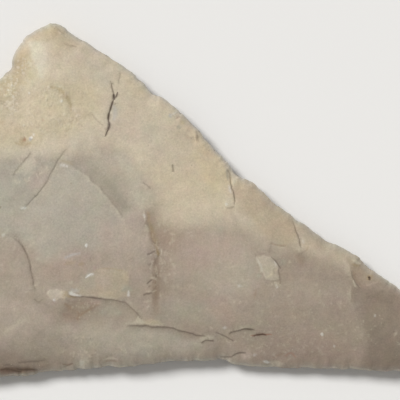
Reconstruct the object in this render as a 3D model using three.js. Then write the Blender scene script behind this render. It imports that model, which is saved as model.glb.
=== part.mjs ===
// A corner-tang knife blade of flaked chert: a single stone, struck to a thin edge all round on both
// faces, with a short tang for its handle in the corner where the back meets the base.
// Millimetres. The stone lies on its back face. +X runs along the cutting edge to the tip, +Y from the
// cutting edge to the back, +Z up through the front face.

import * as THREE from "three";

// Plan, measured from the base line and from the lowest point of the cutting edge.
const bladeLength = 132; // base line to tip
const bladeWidth = 71.2; // cutting edge to the top of the shoulder
const tipRise = 0.9;
const shoulderSetback = 37.9; // base line to the shoulder
const heelSetback = 10.8;
const heelRise = 1.5;
const cuttingEdgeBow = 2.8; // how far each wavy edge strays from its chord
const backEdgeBow = 2.2;
const shoulderBow = 3.2;
const baseBow = 6.6;

// Tang: its neck lies between the back notch and the base notch.
const neckSetback = 17.7;
const neckRise = 53.9;
const neckWidth = 16;
const tangLength = 14;
const tangEndWidth = 13.4;
const tangEndBulge = 2.2;
const tangAngle = 143.5; // degrees from +X
const baseNotchWidth = 11.6; // neck to the corner of the base
const baseNotchDepth = 2;
const baseNotchAngle = 209; // degrees from +X

// Thickness, measured from the face that the stone rests on.
const edgeHeight = 3.1;
const edgeWaver = 0.35; // how far the edge wanders up and down
const edgeWaverLength = 47;
const frontCrown = 5.7; // edge to the top of the front face
const frontReach = 9; // how far in from the edge the front takes to rise
const backDrop = 4.3;
const backReach = 6.5;
const tangFrontHeight = 5.2; // flat faces that thin the tang
const tangBackHeight = 0.9;

// Flake scars: each is a shallow bowl that starts at the edge.
const wideScarPitch = 17;
const wideScarLength = 27;
const wideScarWidth = 21;
const wideScarDepth = 0.55;
const trimScarPitch = 6.4;
const trimScarLength = 9;
const trimScarWidth = 7.4;
const trimScarDepth = 0.42;
const scarLeadIn = 1.6; // the scars grow to their depth over this length

// Steps and ridges of the front face: each drops on the right of its line and heals over its reach.
const stepLip = 2.2;
const ridgeDrop = 0.75;
const ridgeReach = 6.5;
const fanDrop = 0.5;
const fanReach = 5;
const hingeDrop = 0.5;
const hingeReach = 5.5;
const tipRidgeDrop = 0.45;
const tipRidgeReach = 7;

// The mesh: rows follow one another from the tang's end past the neck, the notches and the base to the
// tip, and columns run from the cutting edge to the back.
const rowCounts = [9, 9, 26, 68];
const columnCount = 24;
const rimPointCount = 400;

const { lerp, smoothstep, clamp, degToRad } = THREE.MathUtils;
const point = (x, y) => new THREE.Vector2(x, y);
const heading = (degrees) => point(Math.cos(degToRad(degrees)), Math.sin(degToRad(degrees)));
const onPlan = ([alongShare, riseShare]) => point(bladeLength * alongShare, bladeWidth * riseShare);

// A point in the tang's own frame: out along its axis, and across towards the shoulder.
const neck = point(neckSetback, neckRise);
const tangAxis = heading(tangAngle);
const tangAcross = heading(tangAngle - 90);
const onTang = (out, across) =>
  neck.clone().addScaledVector(tangAxis, out).addScaledVector(tangAcross, across);

// Landmarks of the outline.
const tangEnd = onTang(tangLength + tangEndBulge, 0);
const baseSideOfNeck = onTang(0, -neckWidth / 2);
const backSideOfNeck = onTang(0, neckWidth / 2);
const barb = baseSideOfNeck.clone().addScaledVector(heading(baseNotchAngle), baseNotchWidth);
const heel = point(heelSetback, heelRise);
const shoulder = point(shoulderSetback, bladeWidth);
const tip = point(bladeLength, tipRise);

// Points from one landmark to another: shares of the way along, and of the bow to the right of the way.
function stretch(from, to, bow, shares) {
  const way = to.clone().sub(from);
  const right = point(way.y, -way.x).normalize();
  const between = shares.map(([alongShare, bowShare]) =>
    from.clone().addScaledVector(way, alongShare).addScaledVector(right, bow * bowShare));
  return [...between, to];
}

const baseNotchShares = [[0.2, 0.64], [0.43, 1], [0.65, 0.86], [0.86, 0.39]];
const baseShares = [
  [0.073, 0.37], [0.197, 0.68], [0.321, 0.83], [0.473, 0.97], [0.613, 1], [0.755, 0.9], [0.884, 0.6],
];
const cuttingEdgeShares = [
  [0.073, 0.49], [0.139, 0.36], [0.185, 0.21], [0.213, -0.1], [0.259, -0.11], [0.305, -0.36],
  [0.337, -0.36], [0.393, -0.71], [0.421, -0.89], [0.469, -0.92], [0.497, -0.99], [0.511, -0.95],
  [0.525, -0.67], [0.574, -0.46], [0.637, -0.41], [0.7, -0.37], [0.762, -0.25], [0.83, -0.19],
  [0.9, -0.04], [0.96, 0.05],
];
const notchBottomShares = [[0.045, 0.79], [0.213, 1.01], [0.294, 0.95], [0.378, 0.79], [0.45, 0.46]];
const shoulderShares = [
  [0.534, 0.11], [0.659, -0.13], [0.777, -0.31], [0.873, -0.21], [0.95, -0.13],
];
const backEdgeShares = [
  [0.015, 0.34], [0.04, 0.3], [0.077, 0.52], [0.112, 0.59], [0.14, 0.75], [0.176, 0.63],
  [0.198, 0.42], [0.213, 0.33], [0.228, 0.6], [0.259, 0.48], [0.301, 0.19], [0.342, -0.2],
  [0.383, -0.65], [0.409, -0.93], [0.432, -0.74], [0.454, -0.74], [0.474, -1], [0.519, -0.95],
  [0.552, -0.95], [0.584, -0.95], [0.623, -0.65], [0.648, -0.36], [0.683, -0.5], [0.747, -0.48],
  [0.79, -0.22], [0.83, -0.3], [0.88, -0.05], [0.93, 0.1], [0.97, 0.12],
];

// The rim in two halves from the tang's end to the tip, each in one leg for each run of rows.
const tangSide = (side) => [
  onTang(tangLength, (side * tangEndWidth) / 2),
  onTang(tangLength / 2, (side * (neckWidth + tangEndWidth)) / 4),
  onTang(0, (side * neckWidth) / 2),
];
const backNotch = stretch(backSideOfNeck, shoulder, shoulderBow, [...notchBottomShares, ...shoulderShares]);
const lowerLegs = [
  tangSide(-1),
  stretch(baseSideOfNeck, barb, -baseNotchDepth, baseNotchShares),
  stretch(barb, heel, baseBow, baseShares),
  stretch(heel, tip, cuttingEdgeBow, cuttingEdgeShares),
];
const upperLegs = [
  tangSide(1),
  backNotch.slice(0, notchBottomShares.length),
  backNotch.slice(notchBottomShares.length),
  stretch(shoulder, tip, -backEdgeBow, backEdgeShares),
];

// The spine inside the stone, which every row bends through.
const spineShares = [
  [0.36, 0.41], [0.42, 0.39], [0.52, 0.34], [0.62, 0.27], [0.73, 0.195], [0.84, 0.12], [0.93, 0.06],
];
const throatShare = [0.25, 0.58];
const middleShare = [0.28, 0.43];
const spineLegs = [
  [neck],
  [onPlan(throatShare)],
  [onPlan(middleShare)],
  [...spineShares.map(onPlan), tip],
];

// A smooth curve through a start and the points of its legs, with each leg in as many equal steps as
// its count.
const spanSteps = 24;
function sample(legs, counts) {
  const points = [tangEnd, ...legs.flat()].map((p) => new THREE.Vector3(p.x, p.y, 0));
  const curve = new THREE.CatmullRomCurve3(points, false, "catmullrom");
  curve.arcLengthDivisions = (points.length - 1) * spanSteps;
  const lengths = curve.getLengths();
  const samples = [tangEnd];
  let pointIndex = 0;
  let from = 0;
  legs.forEach((leg, i) => {
    pointIndex += leg.length;
    const to = lengths[pointIndex * spanSteps] / lengths.at(-1);
    for (let step = 1; step <= counts[i]; step += 1) {
      const { x, y } = curve.getPointAt(lerp(from, to, step / counts[i]));
      samples.push(point(x, y));
    }
    from = to;
  });
  return samples;
}

const rowCount = rowCounts.reduce((sum, count) => sum + count, 0);
const lowerRows = sample(lowerLegs, rowCounts);
const upperRows = sample(upperLegs, rowCounts);
const spineRows = sample(spineLegs, rowCounts);

// The two halves of the rim at equal steps.
const pathLength = (points) =>
  points.slice(1).reduce((sum, p, i) => sum + p.distanceTo(points[i]), 0);
function rimHalf(legs, inwardsSide) {
  const points = sample([legs.flat()], [rimPointCount]);
  return { points, length: pathLength(points), inwardsSide };
}
const lowerHalf = rimHalf(lowerLegs, 1);
const upperHalf = rimHalf(upperLegs, -1);
const rimLength = lowerHalf.length + upperHalf.length;

// How far inside the rim a place is, without a crease midway between two edges: the inverse cube root
// of the summed inverse fourth powers of the distances to the rim, which is exact beside a straight edge.
const rimWeights = [lowerHalf, upperHalf].flatMap(({ points, length }) =>
  points.map((at) => ({ at, length: length / rimPointCount })));
function inset(place) {
  const sum = rimWeights.reduce((total, { at, length }) => {
    const squared = place.distanceToSquared(at);
    return total + length / (squared * squared);
  }, 0);
  return Number.isFinite(sum) ? Math.cbrt(Math.PI / (2 * sum)) : 0;
}

// A repeatable series of numbers from 0 to 1.
function series(seed) {
  let state = seed;
  return () => {
    state = (Math.imul(state, 1664525) + 1013904223) >>> 0;
    return state / 2 ** 32;
  };
}

// The place at a distance round the rim from the tang's end, and the way in from there.
function rimPlace(distance) {
  const onLower = distance < lowerHalf.length;
  const { points, length, inwardsSide } = onLower ? lowerHalf : upperHalf;
  const share = (onLower ? distance : rimLength - distance) / length;
  const index = Math.min(Math.floor(share * rimPointCount), rimPointCount - 1);
  const way = points[index + 1].clone().sub(points[index]).normalize();
  return { at: points[index], inwards: point(-way.y, way.x).multiplyScalar(inwardsSide) };
}

// Scars round the whole rim, with their places, turns and sizes varied.
const scarTurn = 0.35; // radians either way
const scarSpreadShare = 0.3;
function scarRing(pitch, length, width, depth, seed) {
  const next = series(seed);
  const vary = (value) => value * (1 + scarSpreadShare * (2 * next() - 1));
  const scarCount = Math.max(1, Math.round(rimLength / pitch));
  return Array.from({ length: scarCount }, (_, i) => {
    const share = (i + 0.5 + scarSpreadShare * (next() - 0.5)) / scarCount;
    const { at, inwards } = rimPlace(share * rimLength);
    const way = inwards.rotateAround(point(0, 0), scarTurn * (2 * next() - 1));
    return { at, way, length: vary(length), width: vary(width), depth: vary(depth) };
  });
}
const frontScars = [
  ...scarRing(wideScarPitch, wideScarLength, wideScarWidth, wideScarDepth, 7),
  ...scarRing(trimScarPitch, trimScarLength, trimScarWidth, trimScarDepth, 21),
];
const backScars = [
  ...scarRing(wideScarPitch, wideScarLength, wideScarWidth, wideScarDepth, 33),
  ...scarRing(trimScarPitch, trimScarLength, trimScarWidth, trimScarDepth, 48),
];

// The depth of the deepest scar at a place. A bowl's middle lies a third of its length in, and its
// depth falls with the square of the distance from there, so scars meet in sharp ridges.
const scarMiddleShare = 0.33;
function scarDepth(scars, place) {
  return scars.reduce((deepest, { at, way, length, width, depth }) => {
    const from = place.clone().sub(at);
    const along = (from.dot(way) / length - scarMiddleShare) / (1 - scarMiddleShare);
    const across = from.cross(way) / (width / 2);
    return Math.max(deepest, depth * (1 - along ** 2 - across ** 2));
  }, 0);
}

// Steps of the front face: lines in shares of the plan, with the low side on the right of each.
const steps = [
  {
    // the long ridge down the middle of the blade
    drop: ridgeDrop, reach: ridgeReach,
    shares: [[0.436, 0.2], [0.445, 0.24], [0.447, 0.292], [0.436, 0.38], [0.424, 0.47], [0.421, 0.55]],
  },
  {
    // the right side of the fan-shaped scar
    drop: fanDrop, reach: fanReach,
    shares: [[0.42, 0.42], [0.403, 0.468], [0.377, 0.503], [0.345, 0.565], [0.308, 0.607]],
  },
  {
    // the hinge that ends the fan-shaped scar
    drop: hingeDrop, reach: hingeReach,
    shares: [[0.255, 0.212], [0.315, 0.233], [0.355, 0.228], [0.394, 0.216], [0.421, 0.171], [0.45, 0.146]],
  },
  {
    // the hinges along the cutting edge
    drop: hingeDrop, reach: hingeReach,
    shares: [[0.4, 0.152], [0.455, 0.149], [0.512, 0.124], [0.562, 0.128], [0.62, 0.126]],
  },
  {
    // the ridge before the tip
    drop: tipRidgeDrop, reach: tipRidgeReach,
    shares: [[0.737, 0.17], [0.74, 0.222], [0.745, 0.272], [0.742, 0.3], [0.73, 0.345]],
  },
].map(({ drop, reach, shares }) => ({ drop, reach, line: shares.map(onPlan) }));

// How far a step lowers a place: nothing on the left of its line, all of its drop just past the lip,
// and less with distance after that. It fades out towards the ends of the line.
const stepFadeShare = 0.25;
function stepDepth({ drop, reach, line }, place) {
  let nearest = Infinity;
  let side = 0;
  let share = 0;
  line.slice(1).forEach((end, i) => {
    const way = end.clone().sub(line[i]);
    const from = place.clone().sub(line[i]);
    const along = clamp(from.dot(way) / way.lengthSq(), 0, 1);
    const distance = from.addScaledVector(way, -along).length();
    if (distance < nearest) {
      nearest = distance;
      side = Math.sign(from.cross(way)) * distance;
      share = (i + along) / (line.length - 1);
    }
  });
  const fade = smoothstep(share, 0, stepFadeShare) * smoothstep(1 - share, 0, stepFadeShare);
  return drop * fade * smoothstep(side, -stepLip / 2, stepLip / 2) * Math.exp(-Math.max(side, 0) / reach);
}

// How far outside the flat faces of the tang a place is.
function offTang(place) {
  const from = place.clone().sub(neck);
  return Math.max(0, -from.dot(tangAxis), Math.abs(from.dot(tangAcross)) - neckWidth / 2);
}

// The heights of the edge and of both faces at a place. The faces rise from the wandering edge and are
// carved by their scars. Bevels bring them to flats on the tang, and the back is flat where it rests.
const crownEase = 1.2;
const carveLimitShare = 0.3; // the most of the thickness that the scars take from one face
const tangBevelSlope = 0.75;
const tangRampSlope = 0.45;
function heightsAt(place) {
  const depthIn = inset(place);
  const edge = edgeHeight
    + edgeWaver * Math.sin((2 * Math.PI * place.x) / edgeWaverLength)
    * Math.cos((2 * Math.PI * place.y) / edgeWaverLength);
  const rise = (crown, reach) => crown * (1 - Math.exp(-((depthIn / reach) ** crownEase)));
  const front = edge + rise(frontCrown, frontReach);
  const back = Math.max(0, edge - rise(backDrop, backReach));
  const most = carveLimitShare * (front - back);
  const leadIn = Math.min(1, depthIn / scarLeadIn);
  const stepped = steps.reduce((sum, step) => sum + stepDepth(step, place), 0);
  const frontCarve = Math.min(most, leadIn * (scarDepth(frontScars, place) + stepped));
  const backCarve = Math.min(most, leadIn * scarDepth(backScars, place));
  const ramp = tangRampSlope * offTang(place);
  const bevel = tangBevelSlope * depthIn;
  const tangFront = Math.min(tangFrontHeight, edge + bevel);
  const tangBack = Math.max(tangBackHeight, edge - bevel);
  return {
    edge,
    front: Math.max(edge, clamp(front - frontCarve, tangFront - ramp, tangFrontHeight + ramp)),
    back: Math.min(edge, clamp(back + backCarve, tangBackHeight - ramp, tangBack + ramp)),
  };
}

// The place of a row and a column. Columns crowd towards the two edges, where the small scars are.
const columnCrowdShare = 0.5;
function gridPlace(row, column) {
  const even = (2 * column) / columnCount - 1;
  const eased = Math.sin((even * Math.PI) / 2);
  const share = lerp(even, eased, columnCrowdShare);
  const edgePoint = share < 0 ? lowerRows[row] : upperRows[row];
  return spineRows[row].clone().lerp(edgePoint, Math.abs(share));
}

// One stone: the front and back grids share the rim, and the first and last rows are single points.
function stoneGeometry() {
  const vertices = [];
  const addVertex = (place, height) => vertices.push(place.x, place.y, height) / 3 - 1;
  const front = [];
  const back = [];
  for (let row = 0; row <= rowCount; row += 1) {
    const atEnd = row === 0 || row === rowCount;
    const frontRow = [];
    const backRow = [];
    for (let column = 0; column <= columnCount; column += 1) {
      const place = gridPlace(row, column);
      const heights = heightsAt(place);
      if (atEnd && column > 0) {
        frontRow.push(frontRow[0]);
        backRow.push(frontRow[0]);
      } else if (atEnd || column === 0 || column === columnCount) {
        const index = addVertex(place, heights.edge);
        frontRow.push(index);
        backRow.push(index);
      } else {
        frontRow.push(addVertex(place, heights.front));
        backRow.push(addVertex(place, heights.back));
      }
    }
    front.push(frontRow);
    back.push(backRow);
  }
  const triangles = [];
  const addTriangle = (a, b, c) => {
    if (a !== b && b !== c && c !== a) triangles.push(a, b, c);
  };
  // Each cell is split along its shorter diagonal.
  const addCell = (a, b, c, d) => {
    const gap = (i, j) =>
      Math.hypot(vertices[3 * i] - vertices[3 * j], vertices[3 * i + 1] - vertices[3 * j + 1]);
    const turned = gap(a, c) > gap(b, d);
    const [e, f, g, h] = turned ? [b, c, d, a] : [a, b, c, d];
    addTriangle(e, f, g);
    addTriangle(e, g, h);
  };
  for (let row = 0; row < rowCount; row += 1) {
    for (let column = 0; column < columnCount; column += 1) {
      const corners = (grid) =>
        [grid[row][column], grid[row + 1][column], grid[row + 1][column + 1], grid[row][column + 1]];
      addCell(...corners(front));
      addCell(...corners(back).reverse());
    }
  }
  const geometry = new THREE.BufferGeometry();
  geometry.setAttribute("position", new THREE.Float32BufferAttribute(vertices, 3));
  geometry.setIndex(triangles);
  // The origin is under the middle of the stone's box, on the face that it rests on.
  geometry.computeBoundingBox();
  const middle = geometry.boundingBox.getCenter(new THREE.Vector3());
  geometry.translate(-middle.x, -middle.y, -geometry.boundingBox.min.z);
  geometry.computeVertexNormals();
  return geometry;
}

const chert = new THREE.MeshStandardMaterial({ color: 0xc0b299, roughness: 0.62, metalness: 0 });
const blade = new THREE.Mesh(stoneGeometry(), chert);
blade.name = "blade";

const knife = new THREE.Group();
knife.add(blade);

export default knife;
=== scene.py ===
import math

import bpy
import numpy as np
from mathutils import Matrix


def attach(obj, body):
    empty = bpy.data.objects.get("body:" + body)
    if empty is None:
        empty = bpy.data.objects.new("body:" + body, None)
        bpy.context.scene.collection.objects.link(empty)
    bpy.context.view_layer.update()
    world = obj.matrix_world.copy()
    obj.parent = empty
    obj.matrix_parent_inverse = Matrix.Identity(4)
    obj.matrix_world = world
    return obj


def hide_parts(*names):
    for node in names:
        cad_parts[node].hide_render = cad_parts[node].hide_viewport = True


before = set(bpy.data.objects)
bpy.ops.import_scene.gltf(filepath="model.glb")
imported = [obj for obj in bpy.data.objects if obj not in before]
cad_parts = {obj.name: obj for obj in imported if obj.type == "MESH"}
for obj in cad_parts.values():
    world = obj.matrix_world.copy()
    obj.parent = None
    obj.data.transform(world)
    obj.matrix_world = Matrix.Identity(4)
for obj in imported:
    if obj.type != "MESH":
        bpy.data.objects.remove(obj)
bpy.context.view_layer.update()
print("frame loaded")


# Shape: everything from here to the mesh is in millimetres and degrees.
# Outline of the blade, measured from the base line and from the lowest point of the cutting edge.
outline = dict(
    length=132, width=71.2, tipRise=0.9, shoulderSetback=37.9, heelSetback=10.8, heelRise=1.5,
    neck=(17.7, 53.9), neckWidth=16, tangLength=14, tangEndWidth=13.4, tangEndBulge=2.2,
    tangAngle=143.5, baseNotchWidth=11.6, baseNotchAngle=209,
    # how far each wavy edge strays from its chord
    cuttingEdgeBow=2.8, backEdgeBow=2.2, shoulderBow=3.2, baseBow=6.6, baseNotchDepth=2,
    # shares of the way along an edge, and of its bow
    baseNotchShares=[(0.2, 0.64), (0.43, 1), (0.65, 0.86), (0.86, 0.39)],
    baseShares=[
        (0.073, 0.37), (0.197, 0.68), (0.321, 0.83), (0.473, 0.97), (0.613, 1), (0.755, 0.9),
        (0.884, 0.6)],
    cuttingEdgeShares=[
        (0.073, 0.49), (0.139, 0.36), (0.185, 0.21), (0.213, -0.1), (0.259, -0.11), (0.305, -0.36),
        (0.337, -0.36), (0.393, -0.71), (0.421, -0.89), (0.469, -0.92), (0.497, -0.99), (0.511, -0.95),
        (0.525, -0.67), (0.574, -0.46), (0.637, -0.41), (0.7, -0.37), (0.762, -0.25), (0.83, -0.19),
        (0.9, -0.04), (0.96, 0.05)],
    notchBottomShares=[(0.045, 0.79), (0.213, 1.01), (0.294, 0.95), (0.378, 0.79), (0.45, 0.46)],
    shoulderShares=[(0.534, 0.11), (0.659, -0.13), (0.777, -0.31), (0.873, -0.21), (0.95, -0.13)],
    backEdgeShares=[
        (0.015, 0.34), (0.04, 0.3), (0.077, 0.52), (0.112, 0.59), (0.14, 0.75), (0.176, 0.63),
        (0.198, 0.42), (0.213, 0.33), (0.228, 0.6), (0.259, 0.48), (0.301, 0.19), (0.342, -0.2),
        (0.383, -0.65), (0.409, -0.93), (0.432, -0.74), (0.454, -0.74), (0.474, -1), (0.519, -0.95),
        (0.552, -0.95), (0.584, -0.95), (0.623, -0.65), (0.648, -0.36), (0.683, -0.5), (0.747, -0.48),
        (0.79, -0.22), (0.83, -0.3), (0.88, -0.05), (0.93, 0.1), (0.97, 0.12)],
    # line inside the stone that every row of the mesh bends through, in shares of length and width
    throatShare=(0.25, 0.58), middleShare=(0.28, 0.43),
    spineShares=[
        (0.36, 0.41), (0.42, 0.39), (0.52, 0.34), (0.62, 0.27), (0.73, 0.195), (0.84, 0.12),
        (0.93, 0.06)],
    # rows of the mesh in the tang, past the notches, over the base and on to the tip
    rowCounts=((60, 56, 200, 740)),
    frontColumns=400, backColumns=170,
)


def heading(angle):
    return np.array([math.cos(math.radians(angle)), math.sin(math.radians(angle))])


# Points from one landmark to another: shares of the way along, and of a bow to the right of the way.
def stretch(start, end, bow, shares):
    way = end - start
    right = np.array([way[1], -way[0]]) / np.linalg.norm(way)
    return [start + along * way + bow * off * right for along, off in shares] + [end]


# Catmull-Rom curve: between two points, the cubic that runs at each along the chord of its neighbours.
def smoothCurve(points, steps):
    p = np.array(points, float)
    p = np.vstack([2 * p[0] - p[1], p, 2 * p[-1] - p[-2]])
    t = (np.arange(steps) / steps)[None, :, None]
    a, b, c, d = (p[i:len(p) - 3 + i, None, :] for i in range(4))
    curve = b + 0.5 * ((c - a) * t + (2 * a - 5 * b + 4 * c - d) * t**2 + (3 * b - a - 3 * c + d) * t**3)
    return np.vstack([curve.reshape(-1, 2), p[-2]])


def distances(curve):
    return np.concatenate([[0], np.cumsum(np.linalg.norm(np.diff(curve, axis=0), axis=1))])


def pick(places, known, table):
    return np.column_stack([np.interp(places, known, column) for column in table.T])


# A smooth curve through a start and the points of its legs, each leg in equal steps.
def sampleLegs(start, legs, counts):
    curve = smoothCurve([start] + [point for leg in legs for point in leg], 24)
    along = distances(curve)
    ends = np.cumsum([0] + [24 * len(leg) for leg in legs])
    places = [np.linspace(along[a], along[b], n, endpoint=False) for a, b, n in zip(ends, ends[1:], counts)]
    places = np.append(np.concatenate(places), along[-1])
    return pick(places, along, curve), places


def makeOutline(o):
    neck = np.array(o["neck"])
    axis, across = heading(o["tangAngle"]), heading(o["tangAngle"] - 90)
    onTang = lambda out, off: neck + out * axis + off * across
    onPlan = lambda share: np.array([share[0] * o["length"], share[1] * o["width"]])
    tangEnd = onTang(o["tangLength"] + o["tangEndBulge"], 0)
    baseSide, backSide = onTang(0, -o["neckWidth"] / 2), onTang(0, o["neckWidth"] / 2)
    barb = baseSide + o["baseNotchWidth"] * heading(o["baseNotchAngle"])
    heel = np.array([o["heelSetback"], o["heelRise"]])
    shoulder = np.array([o["shoulderSetback"], o["width"]])
    tip = np.array([o["length"], o["tipRise"]])
    tangSide = lambda side: [
        onTang(o["tangLength"], side * o["tangEndWidth"] / 2),
        onTang(o["tangLength"] / 2, side * (o["neckWidth"] + o["tangEndWidth"]) / 4),
        onTang(0, side * o["neckWidth"] / 2)]
    notchShares = o["notchBottomShares"] + o["shoulderShares"]
    backNotch = stretch(backSide, shoulder, o["shoulderBow"], notchShares)
    cut = len(o["notchBottomShares"])
    lowerLegs = [
        tangSide(-1),
        stretch(baseSide, barb, -o["baseNotchDepth"], o["baseNotchShares"]),
        stretch(barb, heel, o["baseBow"], o["baseShares"]),
        stretch(heel, tip, o["cuttingEdgeBow"], o["cuttingEdgeShares"])]
    upperLegs = [
        tangSide(1), backNotch[:cut], backNotch[cut:],
        stretch(shoulder, tip, -o["backEdgeBow"], o["backEdgeShares"])]
    spineLegs = [[neck], [onPlan(o["throatShare"])], [onPlan(o["middleShare"])],
                 [onPlan(share) for share in o["spineShares"]] + [tip]]
    halves = [sampleLegs(tangEnd, [[p for leg in legs for p in leg]], [900])[0]
              for legs in (lowerLegs, upperLegs)]
    corner = np.vstack(halves)
    middle = (corner.min(0) + corner.max(0)) / 2
    lower, lowerArc = sampleLegs(tangEnd, lowerLegs, o["rowCounts"])
    upper, upperArc = sampleLegs(tangEnd, upperLegs, o["rowCounts"])
    spine = sampleLegs(tangEnd, spineLegs, o["rowCounts"])[0]
    lengths = [distances(half)[-1] for half in halves]
    return dict(
        halves=[half - middle for half in halves], lengths=lengths, middle=middle, neck=neck - middle,
        axis=axis, across=across, lower=lower - middle, upper=upper - middle, spine=spine - middle,
        lowerArc=lowerArc, upperArc=sum(lengths) - upperArc, rimLength=sum(lengths))


# Retouch: small scars side by side round the whole edge, each biting a little off the rim. Each row: the
# pitch along the rim, then the length inwards, the width, the depth and the bite. Depth and bite run from
# nothing to rarest times what the row says, and the deeper the rarer.
retouch = dict(
    front=[(2.7, 2.4, 3.2, 0.035, 0.18), (1.15, 1.2, 1.4, 0.022, 0.09)],
    back=[(3.1, 5.2, 4.2, 0.14, 0.14), (1.5, 2.0, 2.0, 0.06, 0.06)],
    spread=0.65, rarest=1.8, wander=0.35, skew=0.35, seed=11,
)


def retouchRows(rows, seed, rimLength):
    rng = np.random.default_rng(seed)
    made = []
    for pitch, length, width, depth, bite in rows:
        count = round(rimLength / pitch)
        shift = lambda most: most * rng.uniform(-1, 1, count)
        vary = lambda size: size * (1 + shift(retouch["spread"]))
        rare = lambda size: size * retouch["rarest"] * rng.uniform(0, 1, count)**2
        made.append(dict(
            pitch=rimLength / count, centre=np.arange(count) + 0.5 + shift(retouch["wander"]),
            length=vary(length), width=vary(width), depth=rare(depth), bite=rare(bite),
            skew=shift(retouch["skew"])))
    return made


# The way along a scar's bowl as a share: 0 at its middle, a third of its length in, and 1 at its far end.
def bowlWay(share):
    return (share - 0.33) / 0.67


# The deepest small scar at a place: a bowl in the distance round the rim and the distance in from it. On
# the rim itself, with bite=True, it is how much is bitten off. A place can lie in its own pitch's scar and
# in those of three neighbours each way.
def retouchDepth(rows, arc, inwards, bite=False):
    deepest = np.zeros(np.shape(arc))
    for row in rows:
        count = len(row["centre"])
        place = arc / row["pitch"]
        for offset in range(-3, 4):
            i = np.floor(place).astype(int) + offset
            k = i % count
            centre = row["centre"][k] + (i - k)
            off = ((place - centre) * row["pitch"] - row["skew"][k] * inwards) / (row["width"][k] / 2)
            if bite:
                deepest = np.maximum(deepest, row["bite"][k] * (1 - off**2))
            else:
                along = bowlWay(inwards / row["length"][k])
                deepest = np.maximum(deepest, row["depth"][k] * (1 - along**2 - off**2))
    return deepest


# The rim as a closed line in small equal steps, with its places, the ways along and the ways in.
def makeRim(plan, rows):
    lower, upper = plan["halves"]
    line = np.vstack([lower, upper[::-1][1:-1]])
    arc = np.concatenate([distances(lower), plan["rimLength"] - distances(upper)[::-1][1:-1]])
    way = np.roll(line, -2, 0) - np.roll(line, 2, 0)
    way /= np.linalg.norm(way, axis=1)[:, None]
    inwards = np.column_stack([-way[:, 1], way[:, 0]])
    bite = sum(retouchDepth([row], arc, 0 * arc, bite=True) for row in rows)
    bite -= bite.mean()
    bitten = line + bite[:, None] * inwards
    return dict(plain=line, line=bitten, arc=arc, way=way, inwards=inwards, bite=bite)


def biteRim(points, arcs, rim):
    order = np.argsort(rim["arc"])
    inwards = pick(arcs, rim["arc"][order], rim["inwards"][order])
    bite = np.interp(arcs, rim["arc"][order], rim["bite"][order])
    return points + bite[:, None] * inwards


# Nearest step of the rim: gives each place its distance in from the rim and its distance round it. Places
# are taken a few thousand at a time, to save memory.
def rimPlace(x, y, rim):
    depth, arc = np.empty(len(x)), np.empty(len(x))
    line = rim["line"].astype(np.float32)
    atOnce, step = 4000, 0.2
    for start in range(0, len(x), atOnce):
        part = slice(start, start + atOnce)
        squared = (x[part, None] - line[:, 0])**2 + (y[part, None] - line[:, 1])**2
        nearest = squared.argmin(1)
        fromX, fromY = x[part] - rim["line"][nearest, 0], y[part] - rim["line"][nearest, 1]
        along = np.clip(fromX * rim["way"][nearest, 0] + fromY * rim["way"][nearest, 1], -step, step)
        away = fromX**2 + fromY**2
        depth[part] = np.sqrt(np.maximum(away - along**2, 0))
        arc[part] = rim["arc"][nearest] + along
    return depth, arc


# A table of values on 1 mm squares round the middle of the stone, blended between their corners.
tableReach = (68, 38)


def tableAt(values, x, y):
    wide, high = tableReach
    u, v = np.clip(x + wide, 0, 2 * wide - 0.001), np.clip(y + high, 0, 2 * high - 0.001)
    i, j = u.astype(int), v.astype(int)
    return blend(values, i, j, u - i, v - j)


def blend(values, i, j, a, b):
    return ((values[i, j] * (1 - a) + values[i + 1, j] * a) * (1 - b)
            + (values[i, j + 1] * (1 - a) + values[i + 1, j + 1] * a) * b)


# Smooth distance in from the rim, without a crease midway between two edges: the inverse cube root of the
# summed inverse fourth powers of the distances to the rim.
def makeInset(plan, rim):
    wide, high = tableReach
    gridX, gridY = np.meshgrid(np.arange(-wide, wide + 1), np.arange(-high, high + 1), indexing="ij")
    step = plan["rimLength"] / len(rim["plain"])
    total = np.zeros(gridX.shape)
    for x, y in rim["plain"][::2]:
        total += 2 * step / ((gridX - x)**2 + (gridY - y)**2 + 1e-3)**2
    return np.cbrt(math.pi / (2 * total))


def ease(value, start=0.0, end=1.0):
    share = np.clip((value - start) / (end - start), 0, 1)
    return share * share * (3 - 2 * share)


# Smooth noise from -1 to 1: random values at the corners of squares of a given size, blended with eased
# shares. Each seed turns its squares another way, and they repeat after 256.
def noise(x, y, size, seed):
    corners = np.random.default_rng(seed).uniform(-1, 1, (257, 257))
    turn, start = 0.6 + seed, 1000
    u = (x * math.cos(turn) - y * math.sin(turn)) / size + start
    v = (x * math.sin(turn) + y * math.cos(turn)) / size + start
    i, j = np.floor(u).astype(int), np.floor(v).astype(int)
    return blend(corners, i % 256, j % 256, ease(u - i), ease(v - j))


# Waves of noise laid over each other: the height, size and seed of each.
def waves(x, y, rows):
    return sum(high * noise(x, y, size, seed) for high, size, seed in rows)


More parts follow.
